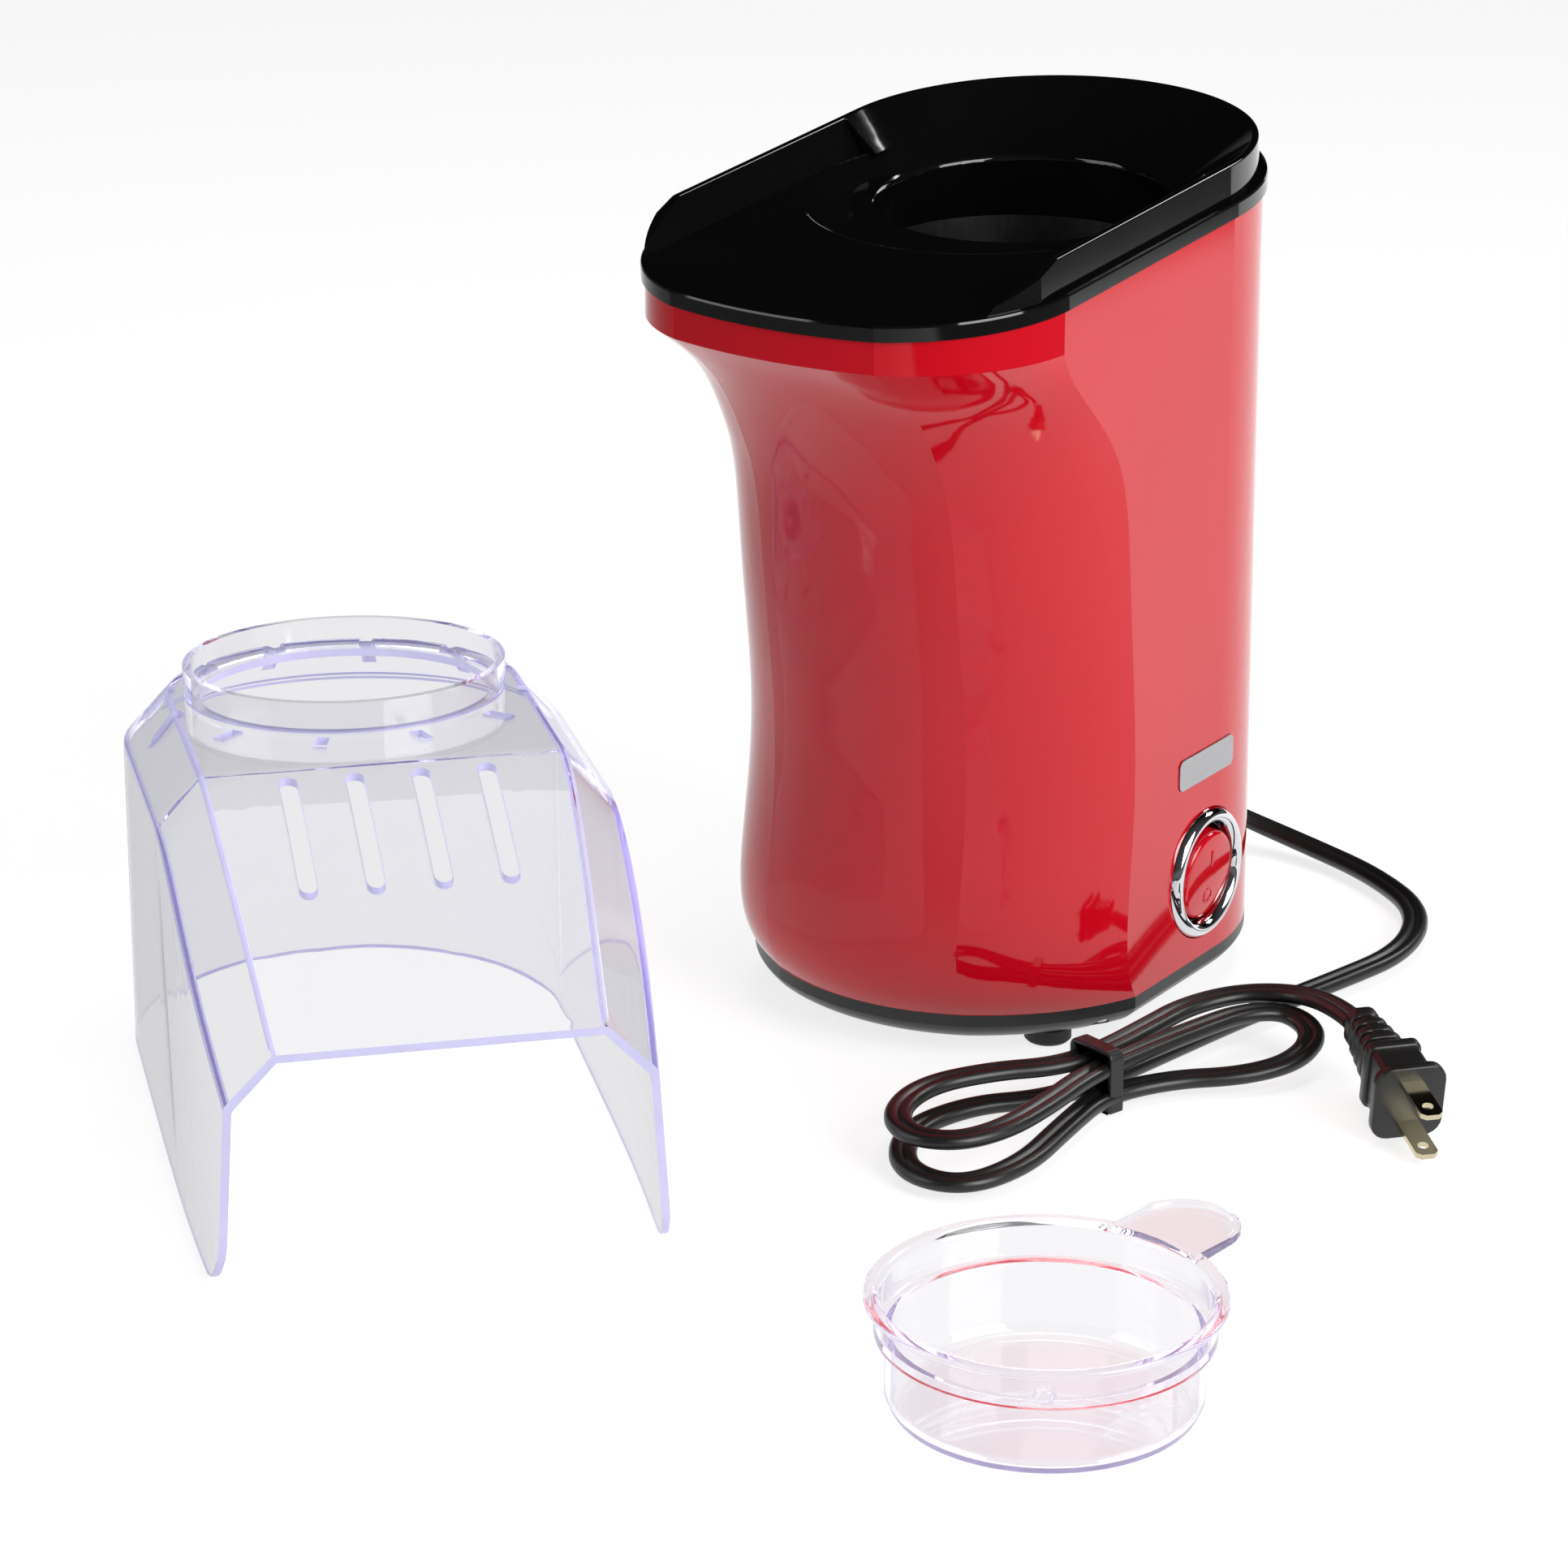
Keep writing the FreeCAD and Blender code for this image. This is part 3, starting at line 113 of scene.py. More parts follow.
# Metals: drawn or rolled grain along one axis, in roughness and bump.
def metalFinish(name, s):
    mat, shader = startMaterial(name, {"Metallic": 1.0})
    tree = mat.node_tree
    coords = addNode(tree, "ShaderNodeTexCoord")
    grainAxis = addNode(tree, "ShaderNodeMapping", {}, {"Scale": s["stretch"]},
                        {"Vector": coords.outputs["Object"]})
    grain = addNode(tree, "ShaderNodeTexNoise", {}, {"Scale": perMetre(s["grainMm"]), "Detail": 4.0},
                    {"Vector": grainAxis.outputs["Vector"]})
    paintSurface(tree, shader, s, grain, grain)
    return mat


# Clear moulded plastic: near colourless face-on, tinted violet by absorption where its wall is long, with a
# painted violet glow in the wall standing in for the light it carries.
def clearFinish(name, s):
    mat, shader = startMaterial(name, {
        "Base Color": linear(s["body"]), "Roughness": s["rough"], "IOR": s["ior"],
        "Transmission Weight": 1.0, "Coat Weight": s["sheen"], "Coat IOR": 1.5, "Coat Roughness": 0.02,
    })
    tree = mat.node_tree
    tint = addNode(tree, "ShaderNodeVolumeAbsorption", {},
                   {"Color": linear(s["edge"]), "Density": s["density"]})
    # painted glow: the wall gives off violet light though it is no lamp
    paintedWallGlow = addNode(tree, "ShaderNodeEmission", {},
                      {"Color": linear(s["edge"]), "Strength": s["paintedWallGlow"]})
    wall = addNode(tree, "ShaderNodeAddShader", {}, {}, {0: tint.outputs["Volume"], 1: paintedWallGlow.outputs[0]})
    tree.links.new(wall.outputs[0], tree.nodes["Material Output"].inputs["Volume"])
    coords = addNode(tree, "ShaderNodeTexCoord")
    flow = addNode(tree, "ShaderNodeTexNoise", {}, {"Scale": perMetre(s["flowMm"]), "Detail": 1.0},
                   {"Vector": coords.outputs["Object"]})
    bump = addNode(tree, "ShaderNodeBump", {}, {"Strength": s["flow"], "Distance": s["flowDepthMm"] * mm},
                   {"Height": flow.outputs["Fac"]})
    tree.links.new(bump.outputs["Normal"], shader.inputs["Normal"])
    return mat


mouldedSettings = {
    # polished tool, so a deep mirror gloss with the faintest waviness
    "redAbsHighGloss": {
        "dark": "#BE0318", "light": "#C8061C", "ior": 1.54, "rough": 0.06, "roughSpread": 0.02,
        "driftMm": 60, "skinMm": 9, "skin": 0.06, "skinDepthMm": 0.06,
    },
    # the same polish in black: it shows little but what it mirrors
    "blackAbsHighGloss": {
        "dark": "#060606", "light": "#0A0A0A", "ior": 1.54, "rough": 0.08, "roughSpread": 0.02,
        "driftMm": 50, "skinMm": 7, "skin": 0.06, "skinDepthMm": 0.05,
    },
    # spark-eroded tool, so a soft satin sheen
    "blackSatinPolypropylene": {
        "dark": "#161617", "light": "#1F1F20", "ior": 1.49, "rough": 0.34, "roughSpread": 0.05,
        "driftMm": 25, "skinMm": 0.9, "skin": 0.25, "skinDepthMm": 0.05,
    },
    # moulded rubber: dull, with a fine grain
    "footRubber": {
        "dark": "#141414", "light": "#1E1D1C", "ior": 1.5, "rough": 0.62, "roughSpread": 0.08,
        "driftMm": 8, "skinMm": 0.7, "skin": 0.4, "skinDepthMm": 0.05,
    },
    # extruded sleeve: a soft sheen, slightly uneven
    "cordPvc": {
        "dark": "#121212", "light": "#1C1B1B", "ior": 1.53, "rough": 0.36, "roughSpread": 0.07,
        "driftMm": 18, "skinMm": 1.1, "skin": 0.22, "skinDepthMm": 0.06,
    },
    # thin wire sleeve: pale and even
    "leadPvc": {
        "dark": "#CFCBBE", "light": "#DEDACD", "ior": 1.53, "rough": 0.4, "roughSpread": 0.05,
        "driftMm": 12, "skinMm": 0.8, "skin": 0.15, "skinDepthMm": 0.04,
    },
    # heat-proof moulding: cream and half matt
    "creamNylon": {
        "dark": "#D9D2BC", "light": "#E6DFCB", "ior": 1.53, "rough": 0.42, "roughSpread": 0.06,
        "driftMm": 30, "skinMm": 0.8, "skin": 0.2, "skinDepthMm": 0.04,
    },
    # pressed flakes: mottled, glinting in patches
    "micaBoard": {
        "dark": "#A58A66", "light": "#C8B08A", "ior": 1.56, "rough": 0.35, "roughSpread": 0.12,
        "driftMm": 5, "skinMm": 1.4, "skin": 0.35, "skinDepthMm": 0.05,
    },
    # felted fibre: off-white and quite dull
    "fibreSeal": {
        "dark": "#CFC8B8", "light": "#EAE5D8", "ior": 1.45, "rough": 0.85, "roughSpread": 0.08,
        "driftMm": 4, "skinMm": 0.6, "skin": 0.8, "skinDepthMm": 0.2,
    },
    # sintered powder: dark grey and grainy
    "magnetFerrite": {
        "dark": "#37373A", "light": "#48484B", "ior": 1.9, "rough": 0.55, "roughSpread": 0.1,
        "driftMm": 6, "skinMm": 0.5, "skin": 0.3, "skinDepthMm": 0.05,
    },
    # pressed carbon: grey-black with a faint shine
    "brushCarbon": {
        "dark": "#2A2A2B", "light": "#3C3C3D", "ior": 1.8, "rough": 0.5, "roughSpread": 0.1,
        "driftMm": 3, "skinMm": 0.4, "skin": 0.3, "skinDepthMm": 0.03,
    },
    # pressed paper board: brown, faintly speckled
    "boardLaminate": {
        "dark": "#9A7A3C", "light": "#B08E4A", "ior": 1.55, "rough": 0.45, "roughSpread": 0.08,
        "driftMm": 5, "skinMm": 0.6, "skin": 0.25, "skinDepthMm": 0.03,
    },
    # where the clear sheet ends or turns: opaque violet with a painted glow, standing in for the light that
    # runs in its wall and comes out there
    "styreneEdgePaintedGlow": {
        "dark": "#A5A2C4", "light": "#BAB7D8", "ior": 1.5, "rough": 0.22, "roughSpread": 0.06,
        "paintedGlow": 0.4, "driftMm": 14, "skinMm": 3, "skin": 0.1, "skinDepthMm": 0.03,
    },
    # cast resin: black and half matt
    "diodeEpoxy": {
        "dark": "#202021", "light": "#2C2C2D", "ior": 1.55, "rough": 0.4, "roughSpread": 0.05,
        "driftMm": 3, "skinMm": 0.4, "skin": 0.2, "skinDepthMm": 0.02,
    },
}
metalSettings = {
    # plated over polish: a clean mirror
    "bezelChromePlate": {
        "dark": "#D5D6D9", "light": "#E2E3E5", "rough": 0.05, "roughSpread": 0.02, "grainMm": 12,
        "stretch": (1, 1, 1), "skin": 0.02, "skinDepthMm": 0.02,
    },
    # brushed along its length: fine streaks and a soft glint
    "plateSatinAluminium": {
        "dark": "#A4A4A6", "light": "#B8B8BA", "rough": 0.3, "roughSpread": 0.06, "grainMm": 0.6,
        "stretch": (1, 0.06, 1), "skin": 0.1, "skinDepthMm": 0.02,
    },
    # drawn and anodised: grey with fine upright lines
    "chamberAnodised": {
        "dark": "#6E6E71", "light": "#848487", "rough": 0.34, "roughSpread": 0.07, "grainMm": 1.5,
        "stretch": (1, 1, 0.15), "skin": 0.12, "skinDepthMm": 0.03,
    },
    # rolled and galvanised: bright, faintly streaked
    "zincSteelSheet": {
        "dark": "#B4B6BA", "light": "#CDCFD2", "rough": 0.3, "roughSpread": 0.08, "grainMm": 3,
        "stretch": (1, 1, 0.2), "skin": 0.1, "skinDepthMm": 0.03,
    },
    # plated steel: bright, a little uneven
    "screwSteel": {
        "dark": "#BDBDC0", "light": "#D2D2D4", "rough": 0.25, "roughSpread": 0.06, "grainMm": 0.8,
        "stretch": (1, 1, 1), "skin": 0.1, "skinDepthMm": 0.02,
    },
    # wire that has glowed: grey-brown and dull
    "nichromeWire": {
        "dark": "#7A7672", "light": "#9A958F", "rough": 0.45, "roughSpread": 0.08, "grainMm": 0.8,
        "stretch": (1, 1, 1), "skin": 0.15, "skinDepthMm": 0.02,
    },
    # stacked sheets: fine lines across the stack
    "coreSteel": {
        "dark": "#98989C", "light": "#AFAFB3", "rough": 0.38, "roughSpread": 0.08, "grainMm": 0.5,
        "stretch": (0.1, 0.1, 1), "skin": 0.2, "skinDepthMm": 0.03,
    },
    # lacquered wire: warm and glossy
    "enamelledCopper": {
        "dark": "#A9572B", "light": "#C56F3D", "rough": 0.28, "roughSpread": 0.06, "grainMm": 0.5,
        "stretch": (0.2, 0.2, 1), "skin": 0.4, "skinDepthMm": 0.06,
    },
    # sintered bronze: dull gold
    "bushBronze": {
        "dark": "#A9813F", "light": "#C49A52", "rough": 0.35, "roughSpread": 0.06, "grainMm": 0.6,
        "stretch": (1, 1, 1), "skin": 0.2, "skinDepthMm": 0.02,
    },
    # stamped brass: yellow with lengthwise lines
    "tabBrass": {
        "dark": "#C1A052", "light": "#D6B869", "rough": 0.28, "roughSpread": 0.06, "grainMm": 0.7,
        "stretch": (0.1, 1, 1), "skin": 0.1, "skinDepthMm": 0.02,
    },
    # nickel over brass: pale gold, nearly polished
    "bladeNickelBrass": {
        "dark": "#C9BC98", "light": "#DDD3B4", "rough": 0.16, "roughSpread": 0.05, "grainMm": 0.6,
        "stretch": (0.1, 1, 1), "skin": 0.08, "skinDepthMm": 0.02,
    },
}
clearSettings = {
    # moulded in a polished tool: clear, with painted shade: a greyer copy of the cup's plastic, standing in
    # for the darker view through the hood
    "hoodStyrenePaintedShade": {
        "body": "#EFEFF0", "edge": "#B1ABE0", "density": 12.0, "paintedWallGlow": 11.0, "ior": 1.17,
        "sheen": 0.5, "rough": 0.01, "flowMm": 35, "flow": 0.05, "flowDepthMm": 0.15,
    },
    # the same plastic in the cup's thin wall, without the hood's painted grey shade
    "cupStyrene": {
        "body": "#FBFAFB", "edge": "#CDC4E6", "density": 22.0, "paintedWallGlow": 13.0, "ior": 1.2,
        "sheen": 0.6, "rough": 0.01, "flowMm": 30, "flow": 0.05, "flowDepthMm": 0.12,
    },
}

finishes = {name: mouldedFinish(name, s) for name, s in mouldedSettings.items()}
finishes.update({name: metalFinish(name, s) for name, s in metalSettings.items()})
finishes.update({name: clearFinish(name, s) for name, s in clearSettings.items()})
print("finishes", len(finishes))

slotFinish = {
    "red_abs": "redAbsHighGloss", "black_abs": "blackAbsHighGloss",
    "black_satin": "blackSatinPolypropylene", "foot_rubber": "footRubber",
    "bezel_chrome": "bezelChromePlate", "plate_silver": "plateSatinAluminium",
    "clear_plastic": "hoodStyrenePaintedShade", "chamber_aluminium": "chamberAnodised", "zinc_steel": "zincSteelSheet",
    "screw_steel": "screwSteel", "mica_board": "micaBoard", "nichrome": "nichromeWire",
    "fibre_seal": "fibreSeal", "cream_nylon": "creamNylon", "magnet_ferrite": "magnetFerrite",
    "core_steel": "coreSteel", "copper_wire": "enamelledCopper", "bush_bronze": "bushBronze",
    "brush_carbon": "brushCarbon", "board_laminate": "boardLaminate", "diode_black": "diodeEpoxy",
    "tab_brass": "tabBrass", "cord_pvc": "cordPvc", "lead_pvc": "leadPvc",
    "blade_brass": "bladeNickelBrass",
}


def wear(obj, finish):
    slots = obj.data.materials
    if len(slots) == 0:
        slots.append(None)
    slots[0] = finishes[finish]


for part in frame["record"]["subparts"]:
    wear(nodes[part["node"]], slotFinish[part["material_slot"]])
print("solids dressed", len(nodes))


def only(obj):
    bpy.ops.object.select_all(action="DESELECT")
    obj.select_set(True)
    bpy.context.view_layer.objects.active = obj


def editAll(obj):
    only(obj)
    bpy.ops.object.mode_set(mode="EDIT")
    bpy.ops.mesh.select_all(action="SELECT")


def editSome(obj, kind, wanted):
    only(obj)
    bpy.ops.object.mode_set(mode="EDIT")
    bpy.ops.mesh.select_mode(type=kind)
    bpy.ops.mesh.select_all(action="DESELECT")
    bpy.ops.object.mode_set(mode="OBJECT")
    mesh = obj.data
    if kind == "FACE":
        for face in mesh.polygons:
            face.select = wanted(face)
    else:
        for edge in mesh.edges:
            edge.select = wanted(*[mesh.vertices[i].co for i in edge.vertices])
    bpy.ops.object.mode_set(mode="EDIT")


def leaveEdit(obj, smoothDegrees=None):
    bpy.ops.object.mode_set(mode="OBJECT")
    if smoothDegrees:
        only(obj)
        bpy.ops.object.shade_smooth_by_angle(angle=math.radians(smoothDegrees))


def setDown(obj, sizeMm=None):
    only(obj)
    if sizeMm:
        obj.scale = [v * mm for v in sizeMm]
    bpy.ops.object.transform_apply(location=True, rotation=True, scale=True)
    return obj


def applyModifier(obj, kind, **settings):
    only(obj)
    modifier = obj.modifiers.new(kind.lower(), kind)
    for key, value in settings.items():
        setattr(modifier, key, value)
    bpy.ops.object.modifier_apply(modifier=modifier.name)


def joined(pieces):
    only(pieces[0])
    for piece in pieces[1:]:
        piece.select_set(True)
    bpy.ops.object.join()
    return bpy.context.object


def present(obj, name, finish, body, replaced):
    obj.name = name
    wear(obj, finish)
    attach(obj, body)
    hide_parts(*replaced)
    print(name, "faces", len(obj.data.polygons))


# The mains lead: one flat twin flex on its edge, out of the bush, through the hank, to the plug.
cordSettings = {
    "lobeRadius": 2.1, "lobeSpacing": 3.6, "low": 4.0, "high": 12.5, "lobeSteps": 9,
    "length": 0.905, "width": 0.0078,
}
# low and high are the two layers of the hank, mm above the worktop
low = cordSettings["low"]
high = cordSettings["high"]
cordRoute = [
    (0.0, 74.0, 22.0), (0.0, 92.0, 21.4), (10.5, 105.0, 11.0), (35.7, 107.5, 4.8), (64.7, 98.0, low),
    (90.7, 79.0, low), (101.2, 48.0, low), (94.7, 16.0, low), (85.7, -20.0, low), (79.2, -58.0, low),
    (74.2, -88.0, low), (67.7, -104.0, low), (53.7, -118.0, low), (47.7, -142.0, low),
    (60.7, -165.0, low), (80.0, -165.5, low), (86.7, -144.0, low), (82.7, -116.0, low),
    (80.2, -92.0, low), (90.7, -72.0, low), (106.7, -60.0, 4.6), (116.2, -46.0, 6.2),
    (114.2, -30.0, 8.4), (102.2, -24.5, 10.6), (93.2, -35.0, 12.0), (88.7, -54.0, high),
    (83.2, -78.0, high), (79.7, -100.0, high), (80.7, -122.5, high), (79.7, -143.5, high),
    (72.7, -158.0, high), (58.7, -160.5, high), (48.2, -148.5, high), (46.4, -129.5, high),
    (56.5, -111.5, high), (69.7, -98.5, high), (74.7, -82.0, high), (76.7, -60.0, high),
    (78.3, -42.0, 12.8), (87.2, -26.0, 13.6), (103.7, -20.0, 15.0), (119.7, -27.0, 16.6),
    (129.7, -36.5, 17.9),
]


def addCurve(name, points, closed=False, spline="NURBS"):
    data = bpy.data.curves.new(name, "CURVE")
    data.dimensions = "3D"
    line = data.splines.new(spline)
    line.points.add(len(points) - 1)
    for point, spot in zip(line.points, points):
        point.co = (*spot, 1.0)
    line.order_u = 3
    line.use_endpoint_u = not closed
    line.use_cyclic_u = closed
    line.resolution_u = 8
    obj = bpy.data.objects.new(name, data)
    bpy.context.scene.collection.objects.link(obj)
    return obj


def linePoints(curve):
    bpy.context.view_layer.update()
    line = bpy.data.meshes.new_from_object(curve.evaluated_get(bpy.context.evaluated_depsgraph_get()))
    return [tuple(v.co) for v in line.vertices]


def toMesh(obj):
    only(obj)
    bpy.ops.object.convert(target="MESH")
    bpy.ops.object.shade_smooth_by_angle(angle=math.radians(near["smoothDegrees"]))
    return bpy.context.view_layer.objects.active


def lobeOutline(s):
    half = s["lobeSpacing"] / 2
    waist = math.acos(half / s["lobeRadius"])
    outline = []
    for side in (1, -1):
        for i in range(s["lobeSteps"] + 1):
            turn = -math.pi + waist + (2 * math.pi - 2 * waist) * i / s["lobeSteps"]
            outline.append((side * half * mm + side * s["lobeRadius"] * math.cos(turn) * mm,
                            side * s["lobeRadius"] * math.sin(turn) * mm, 0.0))
    return outline


cordLine = addCurve("mainsCord", [place(*p) for p in cordRoute])
cordPath = linePoints(cordLine)
flexShape = addCurve("flexShape", lobeOutline(cordSettings), closed=True, spline="POLY")
cordLine.data.twist_mode = "Z_UP"
cordLine.data.bevel_mode = "OBJECT"
cordLine.data.bevel_object = flexShape
cordLine.data.use_fill_caps = True
mainsCord = toMesh(cordLine)
bpy.data.objects.remove(flexShape)
wear(mainsCord, "cordPvc")
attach(mainsCord, "main_unit")
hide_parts("cord_lead", "cord_hank", "cord_tail")
lowest = min(v.co.z for v in mainsCord.data.vertices)
print("cord lowest mm", round(lowest / mm, 2), "vertices", len(mainsCord.data.vertices))


# A copy of a moulding with its edges rounded as the tool leaves them, where wanted says so.
def rounded(node, s, wanted=lambda middle: True):
    obj = bpy.data.objects.new(node + "Rounded", nodes[node].data.copy())
    bpy.context.scene.collection.objects.link(obj)
    editAll(obj)
    bpy.ops.mesh.remove_doubles(threshold=near["mergeMm"] * mm)
    bpy.ops.mesh.customdata_custom_splitnormals_clear()
    bpy.ops.mesh.dissolve_limited(angle_limit=math.radians(near["flatDegrees"]))
    bpy.ops.object.mode_set(mode="OBJECT")
    form = bmesh.new()
    form.from_mesh(obj.data)
    weight = form.edges.layers.float.new("bevel_weight_edge")
    for edge in form.edges:
        turn = math.degrees(edge.calc_face_angle(0.0))
        if turn > s["from"] and wanted((edge.verts[0].co + edge.verts[1].co) / 2):
            edge[weight] = 1.0
    form.to_mesh(obj.data)
    form.free()
    if "edgeFinish" in s:
        obj.data.materials.append(finishes[s["edgeFinish"]])
    applyModifier(obj, "BEVEL", width=s["roundMm"] * mm, segments=s["steps"], limit_method="WEIGHT",
                  use_clamp_overlap=False, material=len(obj.data.materials) - 1)
    only(obj)
    bpy.ops.object.shade_smooth_by_angle(angle=math.radians(s["smoothTo"]))
    applyModifier(obj, "WEIGHTED_NORMAL", weight=60, keep_sharp=True)
    return obj


# edges that turn by more than from degrees are rounded; up to smoothTo the shading runs on
roundings = {
    # the hood's rounded creases wear the violet edge finish with its painted glow
    "hood": {"from": 24, "roundMm": 0.55, "steps": 3, "smoothTo": 28, "edgeFinish": "styreneEdgePaintedGlow"},
    "measuring_cup": {"from": 30, "roundMm": 0.65, "steps": 3, "smoothTo": 35},
    "cord_tie": {"from": 60, "roundMm": 0.45, "steps": 3, "smoothTo": 35},
}
# where the hood stands and how it is turned; the rest in its own frame, mm, with the mouth towards -Y
hoodSettings = {
    "at": (-127.2, -163.2), "turn": 46.5, "creaseFrom": 40.0, "mouth": 165.5, "back": 70.0, "roof": 47.0,
    "tips": 18.0, "ringForward": 3.0, "cutsAbove": 80.0, "upright": 0.12, "under": -0.05, "sideways": 0.3,
    # hole, vents and long slots: from and to, out from the ring's axis, and how far aside
    "cuts": ((39.5, 41.5, 60.0), (48.0, 57.6, 60.0), (77.0, 124.0, 30.0)),
}
toHood = Matrix.Rotation(math.radians(-hoodSettings["turn"]), 3, "Z")


def inHood(spot):
    return toHood @ (spot - place(*hoodSettings["at"], 0.0)) / mm


# The hood's own creases: outside the slotted panel and the ring, and behind the mouth.
def onHoodCrease(middle):
    s = hoodSettings
    own = inHood(middle)
    if own.y < -s["back"]:
        return own.y > -s["mouth"] and abs(own.x) > s["creaseFrom"]
    return math.hypot(own.x, max(own.y, 0.0)) > s["roof"]


# The cut ends of its wall: in the hole, vents and slots, round the mouth, under the legs, along the foot.
def onHoodEnd(face):
    s = hoodSettings
    own = inHood(face.center)
    facing = toHood @ face.normal
    if abs(facing.z) < s["upright"] and own.z > s["cutsAbove"]:
        out = math.hypot(own.x, own.y + s["ringForward"])
        return any(start < out < end and abs(own.x) < aside for start, end, aside in s["cuts"])
    if facing.y < -near["facing"] and own.y < -s["mouth"]:
        return True
    return facing.z < s["under"] and abs(facing.x) < s["sideways"] and own.z < s["tips"]


clearHood = rounded("hood", roundings["hood"], onHoodCrease)
# the cut ends wear the violet edge finish too: painted glow standing in for light leaving the wall
for face in clearHood.data.polygons:
    if onHoodEnd(face):
        face.material_index = 1
present(clearHood, "clearHood", "hoodStyrenePaintedShade", "hood", ["hood"])
measuringCup = rounded("measuring_cup", roundings["measuring_cup"])
present(measuringCup, "measuringCup", "cupStyrene", "cup", ["measuring_cup"])
cordTie = rounded("cord_tie", roundings["cord_tie"])
present(cordTie, "cordTie", "cordPvc", "main_unit", ["cord_tie"])


blockSettings = {"cornerSteps": 5, "edgeSteps": 3, "smoothDegrees": 40}


# A block along X with round corners and softened ends; rear says how much its back end tapers.
def softBlock(s):
    length = s["to"] - s["from"]
    bpy.ops.object.select_all(action="DESELECT")
    bpy.ops.mesh.primitive_cube_add(size=1.0, location=((s["from"] + length / 2) * mm, 0, 0))
    block = setDown(bpy.context.object, (length, s["width"], s["height"]))
    if "rear" in s:
        editSome(block, "FACE", lambda f: f.normal.x < -near["facing"])
        bpy.ops.transform.resize(value=(1.0, *s["rear"]), center_override=(s["from"] * mm, 0, 0))
        bpy.ops.object.mode_set(mode="OBJECT")
    editSome(block, "EDGE", lambda a, b: abs(a.x - b.x) > length * mm / 2)
    bpy.ops.mesh.bevel(offset=s["corner"] * mm, segments=blockSettings["cornerSteps"], affect="EDGES")
    bpy.ops.object.mode_set(mode="OBJECT")
    editSome(block, "EDGE", lambda a, b: abs(a.x - b.x) < near["touchMm"] * mm)
    bpy.ops.mesh.bevel(offset=s["edge"] * mm, segments=blockSettings["edgeSteps"], affect="EDGES")
    leaveEdit(block, blockSettings["smoothDegrees"])
    return block


# blocks along the plug's axis, mm back from its face; heading and dip in degrees
plugSettings = {
    "nose": (161.7, -65.2, 11.9), "heading": -41.8, "dip": 9.6,
    "face": {"from": -3.2, "to": 0.0, "width": 20.5, "height": 22.6, "corner": 5.0, "edge": 0.6},
    "grip": {"from": -15.0, "to": -2.4, "width": 14.0, "height": 18.4, "corner": 1.6, "edge": 0.4},
    "collar": {"from": -17.4, "to": -13.6, "width": 15.8, "height": 20.0, "corner": 2.4, "edge": 0.9},
    "core": {"from": -40.0, "to": -15.0, "width": 9.6, "height": 12.4, "corner": 2.6, "edge": 0.5,
             "rear": (0.74, 0.76)},
    "spine": {"from": -37.5, "to": -15.0, "width": 4.8, "height": 15.4, "corner": 0.8, "edge": 0.3,
              "rear": (0.8, 0.72)},
    "tail": {"from": -41.0, "to": -36.4, "width": 9.2, "height": 11.6, "corner": 3.2, "edge": 0.8},
    "rib": {"from": -20.8, "to": -18.0, "width": 13.2, "height": 15.6, "corner": 3.8, "edge": 0.6},
    "ribs": 4, "ribPitch": 4.6, "ribShrink": (0.92, 0.925),
}


def mouldedPlug(s):
    pieces = [softBlock(s[name]) for name in ("face", "grip", "collar", "core", "spine", "tail")]
    rib = dict(s["rib"])
    for i in range(s["ribs"]):
        pieces.append(softBlock(rib))
        rib["from"] -= s["ribPitch"]
        rib["to"] -= s["ribPitch"]
        rib["width"] *= s["ribShrink"][0]
        rib["height"] *= s["ribShrink"][1]
        rib["corner"] *= s["ribShrink"][0]
    whole = joined(pieces)
    heading = Matrix.Rotation(math.radians(s["heading"]), 4, "Z")
    dip = Matrix.Rotation(math.radians(s["dip"]), 4, "Y")
    whole.data.transform(Matrix.Translation(place(*s["nose"])) @ heading @ dip)
    return whole


plugBody = mouldedPlug(plugSettings)
present(plugBody, "plugBody", "cordPvc", "main_unit", ["plug_body"])


# A round bead turned about the switch's axis: a squashed circle, cut flat at its seat, then spun.
def turnedBead(centre, radius, s):
    bpy.ops.object.select_all(action="DESELECT")
    bpy.ops.mesh.primitive_circle_add(vertices=s["profileSteps"], radius=1.0, rotation=(math.pi / 2, 0, 0),
                                      location=(centre.x, centre.y, centre.z + radius * mm))
    bead = setDown(bpy.context.object, (s["proud"], s["halfWidth"], 1.0))
    editAll(bead)
    bpy.ops.mesh.bisect(plane_co=centre, plane_no=(1, 0, 0), clear_inner=True)
    bpy.ops.object.mode_set(mode="OBJECT")
    for vertex in bead.data.vertices:
        vertex.select = vertex.co.x < centre.x + near["mergeMm"] * mm
    bpy.ops.object.mode_set(mode="EDIT")
    bpy.ops.mesh.edge_face_add()
    bpy.ops.mesh.select_all(action="SELECT")
    bpy.ops.mesh.spin(steps=s["turnSteps"], angle=math.tau, center=centre, axis=(1, 0, 0))
    bpy.ops.mesh.select_all(action="SELECT")
    bpy.ops.mesh.remove_doubles(threshold=near["touchMm"] * mm)
    bpy.ops.mesh.normals_make_consistent(inside=False)
    leaveEdit(bead, near["smoothDegrees"])
    return bead


